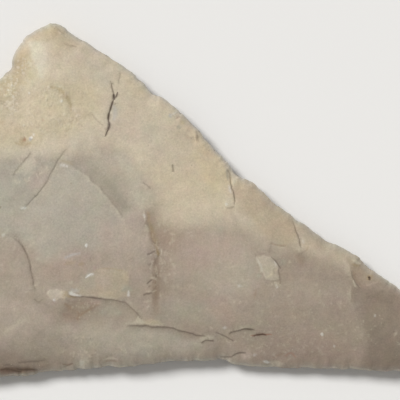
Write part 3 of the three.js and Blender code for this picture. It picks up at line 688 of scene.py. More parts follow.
# Broad regions of the front face, by tint: how strong, the border's softness in mm and the corners in field
# steps. The stone is tan along the back, grey-blue and then pinkish below, and greyer at the cutting edge.
# Where regions of one tint overlap, the strongest counts.
regions = dict(
    # a stain at the bottom left, and painted shade: the face darker towards the right and the bottom, and
    # beside the ridges
    stain=[
        (0.1, 5, [290, 180, 700, 300, 700, 420, 262, 420, 262, 300]),
        (0.12, 2.5, [-240, 350, 20, 350, 44, 356, 60, 380, 40, 420, -240, 420]),
        (0.06, 3, [-20, 70, 20, 40, 40, 28, 50, 60, 44, 100, 0, 104]),
        (0.22, 2.2, [-60, 354, 30, 354, 46, 360, 50, 384, -60, 388]),
        (0.16, 4, [378, 276, 440, 300, 540, 360, 540, 400, 330, 400, 338, 356, 372, 344, 360, 300]),
        (0.08, 2, [152, 248, 172, 248, 178, 276, 156, 292, 148, 276]),
        (0.05, 3, [128, 276, 200, 272, 206, 300, 130, 300]),
        (0.1, 2, [26, 26, 48, 20, 56, 34, 44, 46, 26, 46]),
        (0.15, 1.5, [160, 262, 174, 260, 178, 284, 164, 294]),
        (0.17, 2, [292, 346, 344, 342, 348, 362, 294, 362]),
        (0.2, 1, [352, 284, 364, 287, 370, 298, 362, 304, 351, 302, 349, 294])],
    # pale grey stone, and beside the fan's ridge a painted highlight where the face turns to the light
    silver=[
        (0.45, 1.6, [56, 150, 80, 147, 110, 146, 128, 158, 141, 176, 142, 204, 132, 214, 120, 192, 104, 170,
         86, 159, 62, 159]),
        (0.8, 1.4, [124, 166, 138, 168, 150, 196, 148, 212, 138, 216, 128, 200]),
        (0.5, 1, [108, 100, 118, 100, 122, 122, 114, 128, 106, 120]),
        (0.3, 2, [205, 238, 240, 240, 252, 262, 250, 290, 226, 302, 206, 280]),
        (0.6, 1, [74, 356, 88, 355, 92, 366, 86, 374, 74, 374]),
        (0.8, 0.9, [110, 150, 124, 154, 140, 170, 142, 190, 131, 188, 119, 170]),
        (0.5, 1.8, [80, 324, 130, 326, 190, 340, 200, 350, 150, 352, 90, 352, 30, 356, 20, 340]),
        (0.5, 1.6, [66, 138, 90, 128, 100, 132, 98, 146, 84, 152, 66, 152]),
        (0.5, 1.6, [-60, 148, 0, 150, 40, 150, 60, 148, 52, 160, 20, 160, -60, 160]),
        (0.6, 1.6, [86, 58, 104, 60, 116, 74, 108, 84, 92, 78])],
    # umber stone, and mostly painted shade: beside the ridges and steps, along the fan's ridge, and darker
    # towards the right and the bottom
    umbra=[
        (0.38, 1.6, [298, 246, 318, 252, 346, 262, 350, 276, 330, 282, 304, 276]),
        (0.35, 1.2, [300, 222, 312, 226, 334, 244, 326, 250, 308, 244]),
        (0.2, 2, [250, 350, 280, 344, 350, 342, 352, 380, 250, 374]),
        (0.3, 1.6, [-60, 356, 20, 354, 46, 356, 48, 380, -60, 384]),
        (0.16, 1.6, [160, 256, 172, 258, 174, 300, 168, 320, 158, 314]),
        (0.15, 2, [250, 246, 290, 250, 296, 276, 276, 282, 254, 272]),
        (0.14, 1.4, [96, 124, 110, 128, 122, 136, 116, 150, 98, 150, 92, 136]),
        (0.2, 1.5, [72, 250, 98, 250, 100, 268, 86, 276, 70, 268]),
        (0.25, 1.2, [276, 250, 300, 250, 304, 268, 292, 280, 278, 276]),
        (0.3, 1.5, [325, 300, 352, 300, 362, 320, 352, 336, 328, 330]),
        (0.3, 0.8, [88, 160, 97, 164, 108, 176, 119, 192, 128, 208, 124, 214, 113, 201, 101, 184, 91, 172]),
        (0.3, 1.5, [10, 342, 40, 332, 66, 336, 76, 350, 62, 364, 20, 368]),
        (0.35, 1.4, [368, 280, 384, 274, 400, 284, 440, 306, 420, 330, 390, 308, 370, 298]),
        (0.85, 1.5, [360, 286, 376, 288, 400, 294, 440, 320, 540, 365, 540, 380, 362, 380, 363, 356,
         368, 344, 367, 330, 361, 316, 356, 306]),
        (0.2, 3, [240, 232, 270, 244, 300, 252, 332, 268, 350, 285, 320, 284, 292, 276, 278, 262,
         258, 252]),
        (0.25, 2, [88, 254, 120, 250, 150, 252, 166, 262, 164, 292, 150, 296, 140, 272, 110, 264]),
        (0.22, 2, [-160, 84, -10, 80, 8, 72, 22, 76, 28, 92, 14, 118, -10, 124, -160, 120]),
        (0.2, 1.5, [296, 215, 352, 245, 350, 262, 330, 256, 306, 246]),
        (0.55, 0.9, [296, 254, 303, 253, 308, 262, 303, 268, 296, 264]),
        (0.5, 1, [351, 268, 358, 272, 363, 292, 356, 300, 351, 286]),
        (0.2, 2, [72, 300, 104, 300, 100, 322, 76, 324, 68, 312]),
        (0.13, 2.5, [100, 126, 124, 126, 126, 150, 100, 148]),
        (0.12, 2.5, [-60, 124, 20, 126, 24, 148, -60, 150]),
        (0.12, 2.5, [226, 326, 280, 328, 278, 348, 230, 346])],
    straw=[
        (0.4, 1.2, [124, 76, 134, 76, 150, 92, 144, 100, 130, 92]),
        (1, 1.4, [186, 126, 200, 132, 226, 160, 236, 178, 229, 194, 213, 192, 200, 180, 195, 164,
         196, 148]),
        (0.4, 2.2, [150, 168, 190, 164, 232, 180, 232, 206, 200, 208, 160, 206])],
    cream=[
        (1, 2.2, [-160, 40, -40, 20, 15, 10, 60, 0, 120, 30, 240, 140, 300, 205, 345, 240, 360, 250,
         348, 262, 330, 250, 310, 240, 296, 234, 276, 228, 256, 216, 240, 206, 225, 206, 200, 210, 178, 206,
         160, 200, 152, 192, 146, 184, 138, 170, 125, 155, 110, 148, 85, 152, 65, 153, 50, 158, 25, 158,
         0, 160, -60, 150, -160, 120]),
        (1, 3.6, [150, 150, 240, 140, 320, 200, 356, 250, 352, 266, 335, 262, 318, 256, 300, 249, 288, 245,
         268, 240, 250, 230, 238, 220, 225, 221, 200, 226, 178, 224, 160, 218, 152, 206, 146, 184])],
    yellow=[
        (0.7, 2, [-160, 90, -40, 95, 0, 85, 30, 85, 50, 80, 75, 78, 93, 84, 99, 95, 98, 112, 90, 124,
         75, 128, 60, 138, 40, 142, 20, 145, 0, 148, -60, 140, -160, 118]),
        (0.6, 1.2, [42, 20, 62, 22, 76, 36, 74, 48, 58, 50, 46, 36]),
        (1, 1.2, [14, 50, 28, 52, 38, 78, 34, 88, -10, 90, 4, 76, 12, 62]),
        (0.35, 1.6, [26, 28, 48, 22, 54, 40, 40, 46, 26, 44])],
    tan=[
        (1, 1, [238, 174, 258, 182, 278, 202, 302, 222, 298, 242, 285, 245, 268, 238, 255, 228, 243, 212,
         236, 195]),
        (0.5, 1, [350, 258, 360, 252, 392, 280, 384, 286, 366, 283, 356, 280, 351, 268])],
    pink=[
        (0.6, 0.8, [32, 171, 42, 167, 51, 170, 49, 180, 42, 190, 32, 190, 27, 182]),
        (0.8, 1.8, [100, 222, 140, 214, 147, 235, 150, 258, 140, 275, 120, 266, 90, 266, 60, 268, 48, 262,
         70, 252, 98, 248]),
        (0.25, 1.5, [150, 112, 128, 104, 118, 120, 112, 140, 130, 150, 160, 160, 160, 130]),
        (0.8, 1.8, [-60, 296, 0, 296, 36, 302, 54, 318, 46, 334, 20, 350, -60, 350]),
        (0.4, 2.5, [20, 272, 84, 278, 86, 298, 40, 300, 16, 290])],
    green=[
        (0.5, 0.6, [207, 226, 222, 225, 224, 236, 208, 236]),
        (0.9, 1, [82, 163, 87, 157, 97, 160, 108, 172, 120, 190, 131, 209, 127, 217, 114, 202, 101, 185,
         90, 173]),
        (0.5, 1.2, [160, 300, 212, 300, 222, 312, 222, 326, 190, 322, 165, 318])],
    slate=[
        (0.9, 1, [-160, 160, -60, 165, 0, 162, 20, 160, 50, 161, 58, 165, 51, 180, 41, 195, 25, 210, 0, 216,
         -60, 218, -160, 200])],
    blueGrey=[
        (0.9, 1.8, [58, 164, 66, 160, 88, 171, 108, 193, 130, 222, 125, 236, 100, 250, 70, 252, 45, 262,
         25, 242, 0, 232, -60, 232, -60, 210, 20, 212, 41, 196]),
        (0.6, 1.2, [100, 338, 122, 332, 150, 329, 190, 337, 202, 345, 182, 356, 130, 360, 96, 358])],
    rose=[
        (0.6, 0.8, [42, 266, 62, 262, 84, 255, 88, 267, 76, 278, 56, 282, 40, 276]),
        (0.5, 1.8, [163, 222, 200, 230, 240, 236, 238, 256, 216, 272, 202, 268, 192, 276, 172, 274,
         164, 250]),
        (0.6, 1, [203, 296, 224, 299, 242, 320, 234, 329, 214, 318]),
        (0.6, 1.5, [258, 350, 280, 340, 330, 334, 362, 350, 364, 372, 300, 372, 262, 364]),
        (0.25, 1.2, [98, 138, 108, 140, 112, 152, 100, 156])],
    # brown stone along the main ridge; the broad one to its right is painted shade
    brown=[
        (0.35, 0.4, [144.6, 209, 149, 210, 154, 222, 158, 243, 156, 252, 150, 240, 147, 230, 145, 220]),
        (0.45, 0.6, [153, 254, 160, 262, 161, 290, 160, 312, 154, 315, 151, 290]),
        (0.42, 2.2, [146, 212, 170, 220, 190, 232, 172, 246, 160, 262, 152, 240])],
    ochre=[
        (0.4, 1.4, [-60, 70, 0, 60, 8, 50, 18, 34, 38, 18, 56, 16, 60, 30, 48, 40, 34, 50, 30, 66, 26, 84,
         10, 100, -60, 105])],
)

# Fine strokes of colour on the front face: tint, strength, half width in mm and the points in field steps.
fineStrokes = [
    # the crack, thick and thin, its dark partly the crack's own and partly painted shade
    ("dark", 0.75, 0.15, [110.8, 81, 111.5, 86, 113, 91, 114, 95]),
    ("dark", 1, 0.36, [113.4, 93.5, 114, 97, 114.5, 100.5]),
    ("dark", 0.95, 0.2, [114.8, 98.5, 116.5, 95.5, 117.7, 91.5]),
    ("dark", 1, 0.27, [114, 99, 112.5, 103, 110.5, 109, 109, 113.5]),
    ("dark", 1, 0.3, [109.6, 111, 108.6, 116, 108.6, 122]),
    ("dark", 1, 0.28, [108.6, 120, 109.3, 125, 108.5, 128.5, 107, 132.5]),
    ("dark", 0.9, 0.2, [107.6, 130, 106.3, 133.5, 105, 136.5]),
    ("dark", 0.4, 0.11, [104.8, 127.3, 106.6, 130]), ("dark", 0.4, 0.12, [114, 104, 116, 104.4]),
    ("pale", 0.6, 0.16, [115.6, 97.5, 117, 100, 118.8, 101.5]),
    ("pale", 0.6, 0.22, [106.3, 119.5, 107, 123]), ("bluish", 0.6, 0.5, [113.6, 105, 115, 113, 113.6, 121]),
    ("umbra", 0.35, 0.16, [90, 111.5, 95, 118, 100, 123, 105, 127]),
    ("umbra", 0.3, 0.14, [92, 125, 96.5, 130]), ("pale", 0.3, 0.2, [92, 111, 98, 118, 103, 122.5]),
    # the ear: the arc scar with its painted shade, the crust and the top
    ("ochre", 0.55, 0.55, [49, 86.5, 56, 88.5, 61, 90.5, 65, 95, 68, 99, 70.5, 104, 71.5, 112]),
    ("umbra", 0.12, 0.3, [56, 89.5, 61, 91, 65.4, 95.5, 68.4, 100, 70.5, 105]),
    ("ochre", 0.45, 0.45, [14, 142.5, 22, 144.5, 32, 143]),
    ("ochre", 0.4, 0.3, [59, 160.5, 66, 161.5, 74, 165.5]), ("pale", 0.6, 0.22, [56.5, 86, 61, 86.8]),
    ("pale", 0.5, 0.16, [53, 94.5, 57, 95.3]), ("pale", 0.5, 0.2, [58.5, 99.5, 61.5, 102]),
    ("umbra", 0.55, 0.18, [-2, 101, 4, 102, 6.5, 105, 8, 109.5]),
    ("pale", 0.6, 0.25, [7.5, 106.5, 11, 108.5, 14.5, 105.5]), ("umbra", 0.35, 0.18, [6, 117, 9, 112.5]),
    ("umbra", 0.35, 0.2, [8, 123.5, 14, 125.5]), ("ochre", 0.45, 0.8, [16.5, 55, 20.5, 57.5, 24, 63]),
    ("ochre", 0.35, 0.5, [46, 29, 51, 28.5, 57, 29.5]),
    ("pale", 0.6, 0.16, [57.5, 30.5, 62, 34.5, 69, 38.5]),
    ("umbra", 0.45, 0.14, [55, 26, 59.5, 30.5, 65, 35]), ("brown", 0.35, 0.22, [62, 43, 69, 45.3, 77, 47]),
    # the ridge, with painted highlights along its crest and painted shade to its right
    ("pale", 0.9, 0.18, [144, 210.5, 144.3, 216, 145, 221.5]),
    ("white", 0.5, 0.16, [144.2, 213.5, 144.6, 218]),
    ("pale", 0.5, 0.3, [145.5, 224, 147, 228.5, 147.6, 232]),
    ("ochre", 0.6, 0.3, [147.2, 211.5, 149, 216, 148, 222]),
    ("brown", 0.8, 0.5, [150, 225.5, 152, 231, 153.2, 237.5]),
    ("ochre", 0.5, 0.3, [151, 233, 153, 238, 156, 243]),
    ("dark", 0.25, 0.1, [151.8, 240.5, 156, 243.5, 160, 247.5]),
    ("dark", 0.28, 0.1, [151.8, 246.5, 156, 250, 159.5, 254.5]),
    ("pale", 0.5, 0.09, [152.8, 242.7, 157, 246, 160, 250]),
    ("pale", 0.5, 0.09, [150.8, 244.5, 153, 247.3, 155, 251]),
    ("ochre", 1, 0.3, [156.7, 249.5, 158, 252.5, 158.4, 256]),
    ("pale", 0.75, 0.12, [160.6, 248.3, 161.4, 251, 161.5, 253.8]),
    ("pale", 0.5, 0.1, [159.5, 255.5, 160.5, 259, 161.2, 262, 163, 265.5]),
    ("pale", 0.35, 0.1, [163, 258, 165, 262, 165, 266]),
    ("dark", 0.14, 0.13, [155, 257, 156, 264, 158, 270, 160, 274.5]),
    ("dark", 0.12, 0.12, [157.5, 258.5, 158.6, 265]),
    ("pale", 0.35, 0.1, [155, 264, 156.5, 268, 158, 272.5]),
    ("dark", 0.25, 0.16, [152.6, 272.5, 153.4, 277]), ("dark", 0.25, 0.16, [156.6, 273.5, 155.6, 278]),
    ("brown", 0.7, 0.85, [155.5, 276, 155.8, 285, 155.8, 293, 156.3, 301]),
    ("dark", 0.14, 0.2, [152.9, 279, 152.6, 290, 153.2, 300]),
    ("dark", 0.5, 0.14, [148, 287.2, 150.6, 286]), ("pale", 0.4, 0.12, [160.5, 294.5, 161.2, 298]),
    ("pale", 0.35, 0.12, [169.6, 241.5, 170.2, 246]), ("dark", 0.14, 0.1, [171.6, 243, 171.2, 248]),
    ("pale", 0.35, 0.1, [173.6, 270.5, 174.2, 275.5]), ("pale", 0.3, 0.1, [170, 272, 169.5, 277]),
    ("ochre", 0.4, 0.55, [147.6, 214, 149.5, 222, 152.5, 232, 156, 243, 158, 252]),
    ("rose", 0.4, 0.9, [161.5, 231.5, 164, 235.5, 167, 238]), ("rose", 0.3, 1.2, [162, 224, 167, 228]),
    ("umbra", 0.22, 0.6, [229, 209, 235, 221, 242, 235, 252, 250]),
    ("dark", 0.3, 0.22, [6, 234.6, 13, 237.6, 19.6, 243, 24.6, 250.6, 27, 256]),
    ("pale", 0.35, 0.5, [15.6, 173, 22, 166, 29, 159]), ("pale", 0.3, 0.4, [24, 176, 32, 167, 36, 160]),
    # the leaf, with painted highlights and painted shade along its edges
    ("white", 0.25, 0.16, [256.8, 258.5, 258.5, 262, 261, 266, 261.5, 271]),
    ("white", 0.3, 0.18, [273.8, 260.6, 276.8, 265.3]),
    ("dark", 0.5, 0.13, [270.6, 256.6, 275, 260.5, 278.8, 265.6, 281.4, 269]),
    ("dark", 0.3, 0.12, [278.6, 268.6, 279, 273, 280, 279, 280.2, 286.5]),
    ("dark", 0.28, 0.1, [273.6, 266.6, 274, 271, 273.6, 275]),
    ("ochre", 0.5, 0.13, [276.4, 268, 275.4, 271.8]), ("dark", 0.22, 0.11, [271.6, 280.3, 276.6, 281.2]),
    ("yellow", 0.9, 0.3, [267.6, 277.2, 271.6, 274.2, 272.4, 271]),
    ("green", 0.8, 0.5, [256.8, 274.6, 261.4, 276.6]), ("green", 1, 0.8, [281.6, 259.6, 285.6, 264.6]),
    ("dark", 0.22, 0.11, [255.3, 252, 255.8, 257.2]), ("dark", 0.16, 0.13, [258.6, 254, 265.4, 253.2]),
    ("pale", 0.35, 0.25, [273.4, 282.4, 278.6, 284.6]),
    ("brown", 0.45, 0.24, [256, 288.6, 255.4, 293, 254.6, 298.4]),
    ("brown", 0.6, 0.16, [270, 243.2, 276, 244.8, 281, 245.6, 287, 244.8]),
    ("dark", 0.3, 0.11, [280.2, 246, 283, 246.5, 286.4, 245.6]),
    ("pale", 0.35, 0.11, [279.6, 247.7, 285.4, 247.3]),
    # the shelf and the flake scar above it, with painted shade under the shelf
    ("white", 0.9, 0.17, [86, 277.8, 88.4, 275.6, 91.8, 273.4]),
    ("white", 0.7, 0.12, [91, 273.2, 94, 275.2]), ("brown", 0.8, 0.55, [64, 303, 69, 306.6, 74, 310]),
    ("brown", 0.9, 0.35, [75, 319.6, 82, 314, 90, 309, 99, 303.6]),
    ("rose", 0.9, 0.7, [80, 303.6, 90, 302.6, 101, 302]),
    ("umbra", 0.45, 0.3, [66, 313, 70, 316.6, 75.6, 319]),
    ("umbra", 0.4, 0.25, [64.6, 299, 72, 302.6, 80, 301.6]),
    ("green", 0.8, 1.2, [98, 314, 110, 311, 122, 314]),
    ("ochre", 0.8, 0.16, [64.6, 295.2, 69, 296.6, 76, 297.2]),
    ("dark", 0.6, 0.12, [78, 297, 86, 296.8, 94, 298, 103, 299.2]),
    ("ochre", 0.4, 0.12, [94, 270.4, 103, 268.2, 112, 268.6, 120, 270.4, 128, 271.6]),
    ("ochre", 0.4, 0.25, [64.8, 291, 67, 293, 66.6, 296.5]), ("pale", 0.5, 0.12, [71.3, 280.6, 71, 285.4]),
    ("bluish", 0.9, 0.24, [63.6, 258.8, 69, 256, 74, 254.2, 80.4, 253.4]),
    ("ochre", 0.3, 0.45, [63.6, 265.2, 69, 263, 76, 262.4]), ("ochre", 0.4, 0.25, [79, 264.5, 84.6, 263.4]),
    ("dark", 0.32, 0.1, [91.2, 255, 90.4, 259.4, 91.6, 262.4]),
    ("dark", 0.22, 0.1, [92.4, 255.6, 94.2, 259.4]), ("brown", 0.9, 0.45, [77, 310.6, 79, 315, 77, 320.6]),
    ("brown", 0.7, 0.35, [84, 308.4, 92, 306.4, 100.6, 303.6]), ("brown", 0.5, 0.6, [63, 313, 68, 318.6]),
    ("green", 1, 0.7, [121.6, 291, 127, 288, 132, 290.4]),
    ("brown", 0.3, 0.14, [104.4, 284.4, 108, 286, 111.4, 284.6]),
    ("dark", 0.3, 0.11, [124.6, 302.6, 131, 307.2, 137, 313.6, 142.4, 320.4]),
    # the stain, and the hinges by the cutting edge, with painted shade along the hinges
    ("dark", 0.7, 0.36, [0, 370, 8, 369, 16, 371, 22, 371.6]),
    ("dark", 0.75, 0.3, [14, 368.6, 22, 369.6, 30, 369.4, 35, 370]),
    ("dark", 0.4, 0.2, [2, 365.8, 8, 364.8, 14, 366]),
    ("dark", 0.4, 0.55, [8, 367.4, 18, 368.4, 28, 369.2, 37, 369.6]),
    ("stain", 0.5, 0.2, [62, 364, 68, 365, 73, 363.4]),
    ("stain", 0.4, 0.16, [104, 362, 110, 360.6, 117, 361.4]),
    ("pale", 0.6, 0.16, [103, 360, 110, 358, 118, 359.6]),
    ("rust", 0.75, 0.14, [249.6, 335.7, 256, 335.2, 262, 334.3, 272.4, 334.5]),
    ("dark", 1, 0.2, [252.6, 335.8, 257.6, 334.9, 261, 334.4, 266.6, 334.6]),
    ("pale", 0.35, 0.16, [239, 328.4, 243, 327.8, 247.6, 327.2]),
    ("dark", 0.8, 0.22, [241, 329.6, 246, 329, 252, 329.6]),
    ("pale", 0.45, 0.16, [225.6, 340.4, 228, 342, 231, 343.4]),
    ("pale", 0.45, 0.2, [209.6, 326.4, 212.6, 328.6]),
    ("brown", 0.6, 0.24, [276.6, 356.4, 281, 354, 284.4, 353]), ("pink", 1, 1, [240.6, 356.4, 252.6, 354]),
    ("pale", 0.4, 0.16, [193.6, 344, 197, 343.6]),
    # the upper edge
    ("bluish", 0.8, 0.3, [169.4, 113.6, 171.2, 118]),
    ("white", 0.45, 0.16, [170.6, 115.6, 174.4, 113.4, 178, 111.6]),
    ("brown", 0.7, 0.14, [175.3, 119.4, 178, 117.1, 181.6, 117.1]),
    ("yellow", 1, 0.55, [181, 120.6, 184.4, 124.4]), ("green", 0.7, 0.5, [176.8, 126, 180.6, 128.4]),
    ("brown", 0.3, 0.35, [184.6, 134.4, 189.4, 138.4]),
    ("dark", 0.32, 0.12, [196.4, 130.6, 197.4, 136, 198, 141.6]),
    ("brown", 0.4, 0.24, [196, 130.6, 196.8, 141.6]),
    ("yellow", 1, 0.9, [200.6, 144.4, 206, 148, 209.4, 153.6]),
    ("green", 0.7, 0.3, [226.8, 168.4, 227.4, 175, 228, 181]),
    ("white", 0.4, 0.2, [229, 185.6, 230, 190, 230.4, 192.6]),
    ("yellow", 1, 0.45, [238.6, 183.6, 243, 185, 248, 188.4]),
    ("white", 0.35, 0.16, [302.6, 239.6, 303.8, 243.6]), ("brown", 0.4, 0.16, [306, 250.6, 308.4, 246.4]),
    ("umbra", 0.7, 0.14, [298.6, 254.2, 301.6, 253.4, 303.6, 251]),
    # towards the tip, where the ridge has a painted highlight on its left and painted shade on its right
    ("pale", 0.3, 0.6, [344, 261, 347, 268, 349.6, 276]),
    ("brown", 0.5, 0.24, [272, 358.4, 277, 356, 283, 354.6]),
    ("dark", 0.38, 0.12, [350.8, 271, 353, 278, 356, 283.4, 360.4, 288.4]),
    ("brown", 0.6, 0.4, [352.6, 270.6, 355, 277, 358.4, 282.6, 362.6, 287]),
    ("pale", 0.75, 0.17, [352.6, 279.6, 354.2, 283.6, 355.6, 287.6]),
    ("pale", 0.45, 0.12, [351.2, 287.6, 349.8, 292.6, 350.2, 299.6]),
    ("ochre", 0.5, 0.25, [351.6, 264, 357, 265.6, 361.6, 264.8]),
    ("umbra", 0.55, 0.7, [364, 312.4, 366, 318]),
]

# Grit of the crust, in field steps: middle, half widths, how many grains, their radius, tint, strength and
# the lift in mm.
grit = [
    (10, 90, 9, 26, 60, 1.2, "pale", 0.5, 0.03), (12, 88, 10, 27, 50, 1.2, "yellow", 0.9, 0.03),
    (12, 88, 10, 27, 50, 1.1, "umbra", 0.3, -0.02), (24, 66, 10, 9, 16, 1.2, "pale", 0.5, 0.025),
    (55, 94, 14, 13, 30, 1.2, "pale", 0.35, 0.02), (56, 94, 14, 13, 20, 1.1, "umbra", 0.2, -0.015),
    (70, 121, 14, 11, 30, 1.2, "pale", 0.4, 0.02), (70, 121, 14, 11, 20, 1.1, "umbra", 0.2, -0.015),
    (48, 100, 55, 42, 120, 1.2, "pale", 0.22, 0.015), (48, 100, 55, 42, 90, 1.4, "umbra", 0.1, -0.015),
    (84, 350, 14, 14, 24, 1.2, "pale", 0.35, 0.025), (158, 262, 8, 24, 30, 0.9, "pale", 0.35, 0.015),
    (276, 284, 5, 5, 10, 0.9, "pale", 0.5, 0.02), (330, 330, 60, 34, 60, 1, "pale", 0.25, 0.015),
    (270, 345, 60, 14, 40, 1, "pale", 0.3, 0.015), (86, 308, 20, 10, 30, 1, "pale", 0.3, 0.01),
    (100, 350, 60, 10, 40, 1, "umbra", 0.2, -0.015), (80, 270, 20, 8, 20, 1, "rose", 0.9, 0),
]

# Scratches, in field steps: the middle and half widths of an oval, how many, their half length, tint and
# strength.
scratches = [
    (166, 250, 10, 34, 22, 3, "pale", 0.4), (150, 285, 8, 26, 10, 3, "pale", 0.45),
    (25, 280, 30, 40, 22, 2.5, "pale", 0.4), (40, 100, 50, 40, 34, 2.5, "pale", 0.45),
    (300, 310, 50, 28, 28, 3, "pale", 0.32), (120, 350, 60, 8, 14, 3, "pale", 0.4),
    (280, 350, 50, 10, 18, 2.5, "pale", 0.34), (70, 130, 30, 14, 14, 2.5, "pale", 0.45),
    (25, 170, 24, 14, 20, 2.5, "pale", 0.55), (180, 230, 36, 12, 12, 3, "pale", 0.35),
    (150, 130, 60, 40, 20, 3, "pale", 0.35), (210, 290, 40, 30, 20, 3, "pale", 0.3),
    (-70, 260, 70, 90, 50, 3, "pale", 0.4), (450, 340, 60, 30, 24, 3, "pale", 0.4),
    (40, 100, 50, 40, 18, 2.5, "umbra", 0.35), (162, 262, 10, 32, 16, 3, "umbra", 0.4),
    (25, 170, 24, 14, 12, 2.5, "umbra", 0.35), (100, 362, 50, 6, 12, 3, "umbra", 0.4),
    (300, 310, 50, 28, 14, 3, "umbra", 0.25), (80, 310, 24, 10, 12, 3, "umbra", 0.35),
]

# Small marks of the front face, in field steps: middle, radius, tint, strength and lift in mm.
marks = [
    (64, 165, 1.9, "white", 0.5, 0.03), (67, 166.5, 1.4, "white", 0.4, 0.02),
    (24.5, 207.8, 1.6, "white", 0.5, 0.02), (22, 208.5, 1.1, "white", 0.4, 0),
    (86, 245.2, 1.7, "white", 0.8, 0.02), (54, 300, 1.3, "white", 0.6, 0),
    (61, 165.5, 1.1, "white", 0.4, 0), (276, 285, 1.4, "white", 0.3, 0.01),
    (277.2, 287.2, 1.2, "white", 0.35, 0), (322, 334.3, 1.6, "white", 0.6, 0.02),
    (334.2, 346, 1.1, "white", 0.5, 0), (375, 316, 1.7, "white", 0.3, 0.01),
    (254.5, 355, 1.5, "white", 0.3, 0), (239.3, 286, 1.5, "white", 0.4, 0),
    (224.6, 327.8, 1.4, "white", 0.35, 0), (61.6, 101.3, 1.5, "white", 0.5, 0.03),
    (29.3, 93, 1.5, "white", 0.4, 0.03), (24, 125.4, 1.6, "pale", 0.7, 0.03),
    (30.5, 139, 2.2, "bluish", 1, 0.02), (31.5, 137.5, 1.7, "white", 0.75, 0),
    (24.5, 139.8, 2.7, "rust", 0.45, -0.03), (23, 141, 4.2, "ochre", 0.5, 0),
    (33.5, 135, 1.2, "white", 0.5, 0), (369.4, 277.6, 1.7, "dark", 0.95, -0.1),
    (369.4, 279.2, 1.2, "dark", 0.8, -0.05), (369.8, 277.8, 3.4, "ochre", 0.6, 0),
    (2, 123, 3, "rust", 0.15, 0), (43, 120, 1.6, "rust", 0.18, -0.02), (48.5, 87.5, 1.7, "pale", 0.6, 0.03),
    (12, 85, 1.5, "white", 0.4, 0.03), (8, 90, 1.4, "white", 0.35, 0.03), (13, 97, 1.7, "white", 0.3, 0.03),
    (18, 67.5, 1.6, "pale", 0.7, 0.03), (22.5, 65.5, 1.4, "pale", 0.6, 0.03),
    (10, 103, 2.6, "pale", 0.5, 0.03), (77.6, 116, 1.8, "pale", 0.6, 0.03),
    (69, 124, 1.8, "pale", 0.5, 0.02), (43, 77, 1.9, "pale", 0.6, 0), (4, 104.5, 1.6, "umbra", 0.3, -0.03),
    (12.5, 124, 1.5, "umbra", 0.25, -0.03), (0, 208, 1.6, "stain", 0.5, -0.03),
    (3, 235, 1.5, "white", 0.3, 0), (81.5, 363, 3, "white", 0.25, 0.03),
    (82, 368, 2.4, "yellow", 0.7, 0.02), (54.5, 276, 1.3, "umbra", 0.3, 0),
    (147, 187, 2.4, "pale", 0.5, 0.03), (143, 185, 1.8, "pale", 0.4, 0.02),
    (191.5, 137.5, 1.5, "umbra", 0.3, 0), (226.5, 204.5, 1.7, "white", 0.4, 0.02),
    (290, 262, 1.4, "pale", 0.35, 0),
]


# A mark is a bell of colour with a ragged border.
def drawMarks(x, y, tints, lift):
    full, ragged, raggedSize, soft = 1.15, 0.35, 0.35, 0.6
    for u, v, radius, name, strength, rise in marks:
        (middleX, middleY), = onField([u, v])
        away = np.hypot(x - middleX, y - middleY) / (radius * field["step"])
        near = away < full + ragged
        seed = int(7 * u + v) % 1000
        bell = ease(full + ragged * noise(x[near], y[near], raggedSize, seed) - away[near], 0, soft)
        tints[name][near] = np.maximum(tints[name][near], strength * bell)
        lift[near] += rise * bell


# The fine strokes: a bell of colour across each line, thinner towards its ends.
def drawFineStrokes(x, y, tints):
    most, size, slimmest = 0.05, 0.6, 0.35
    strayX, strayY = (most * noise(x, y, size, seed) for seed in (66, 67))
    for name, strength, width, at in fineStrokes:
        points = onField(at)
        near = nearPoints(x, y, points, 3 * width)
        distance, _, share, _ = nearLine(x[near] + strayX[near], y[near] + strayY[near], points)
        slim = slimmest + (1 - slimmest) * taper(share, 0.4)
        bell = np.exp(-(distance / (width * slim))**2) * taper(share, 0.05, -0.001)
        tints[name][near] = np.maximum(tints[name][near], strength * bell)


# Repeatable random places in an oval, crowded towards its middle by the power.
def scatter(rng, u, v, halfU, halfV, count, power):
    angle, away = rng.uniform(0, 2 * math.pi, count), rng.uniform(0, 1, count)**power
    return onField(np.column_stack([u + halfU * away * np.cos(angle), v + halfV * away * np.sin(angle)]))


# The grit: small ovals, of sizes and shapes that vary.
def drawGrit(x, y, tints, lift):
    firstSeed, crowding, sizes, widths = 400, 0.7, (0.6, 1.3), (0.6, 1.6)
    for index, (u, v, halfU, halfV, count, radius, name, strength, rise) in enumerate(grit):
        rng = np.random.default_rng(firstSeed + index)
        centres = scatter(rng, u, v, halfU, halfV, count, crowding)
        radii = radius * field["step"] * rng.uniform(*sizes, count)
        for (centreX, centreY), r, wide in zip(centres, radii, rng.uniform(*widths, count)):
            near = (np.abs(x - centreX) < 2 * r) & (np.abs(y - centreY) < 2 * r)
            far = np.hypot((x[near] - centreX) * wide, (y[near] - centreY) / wide) / r
            bell = ease(1.3 - far, 0, 0.7)
            tints[name][near] = np.maximum(tints[name][near], strength * bell)
            lift[near] += rise * bell


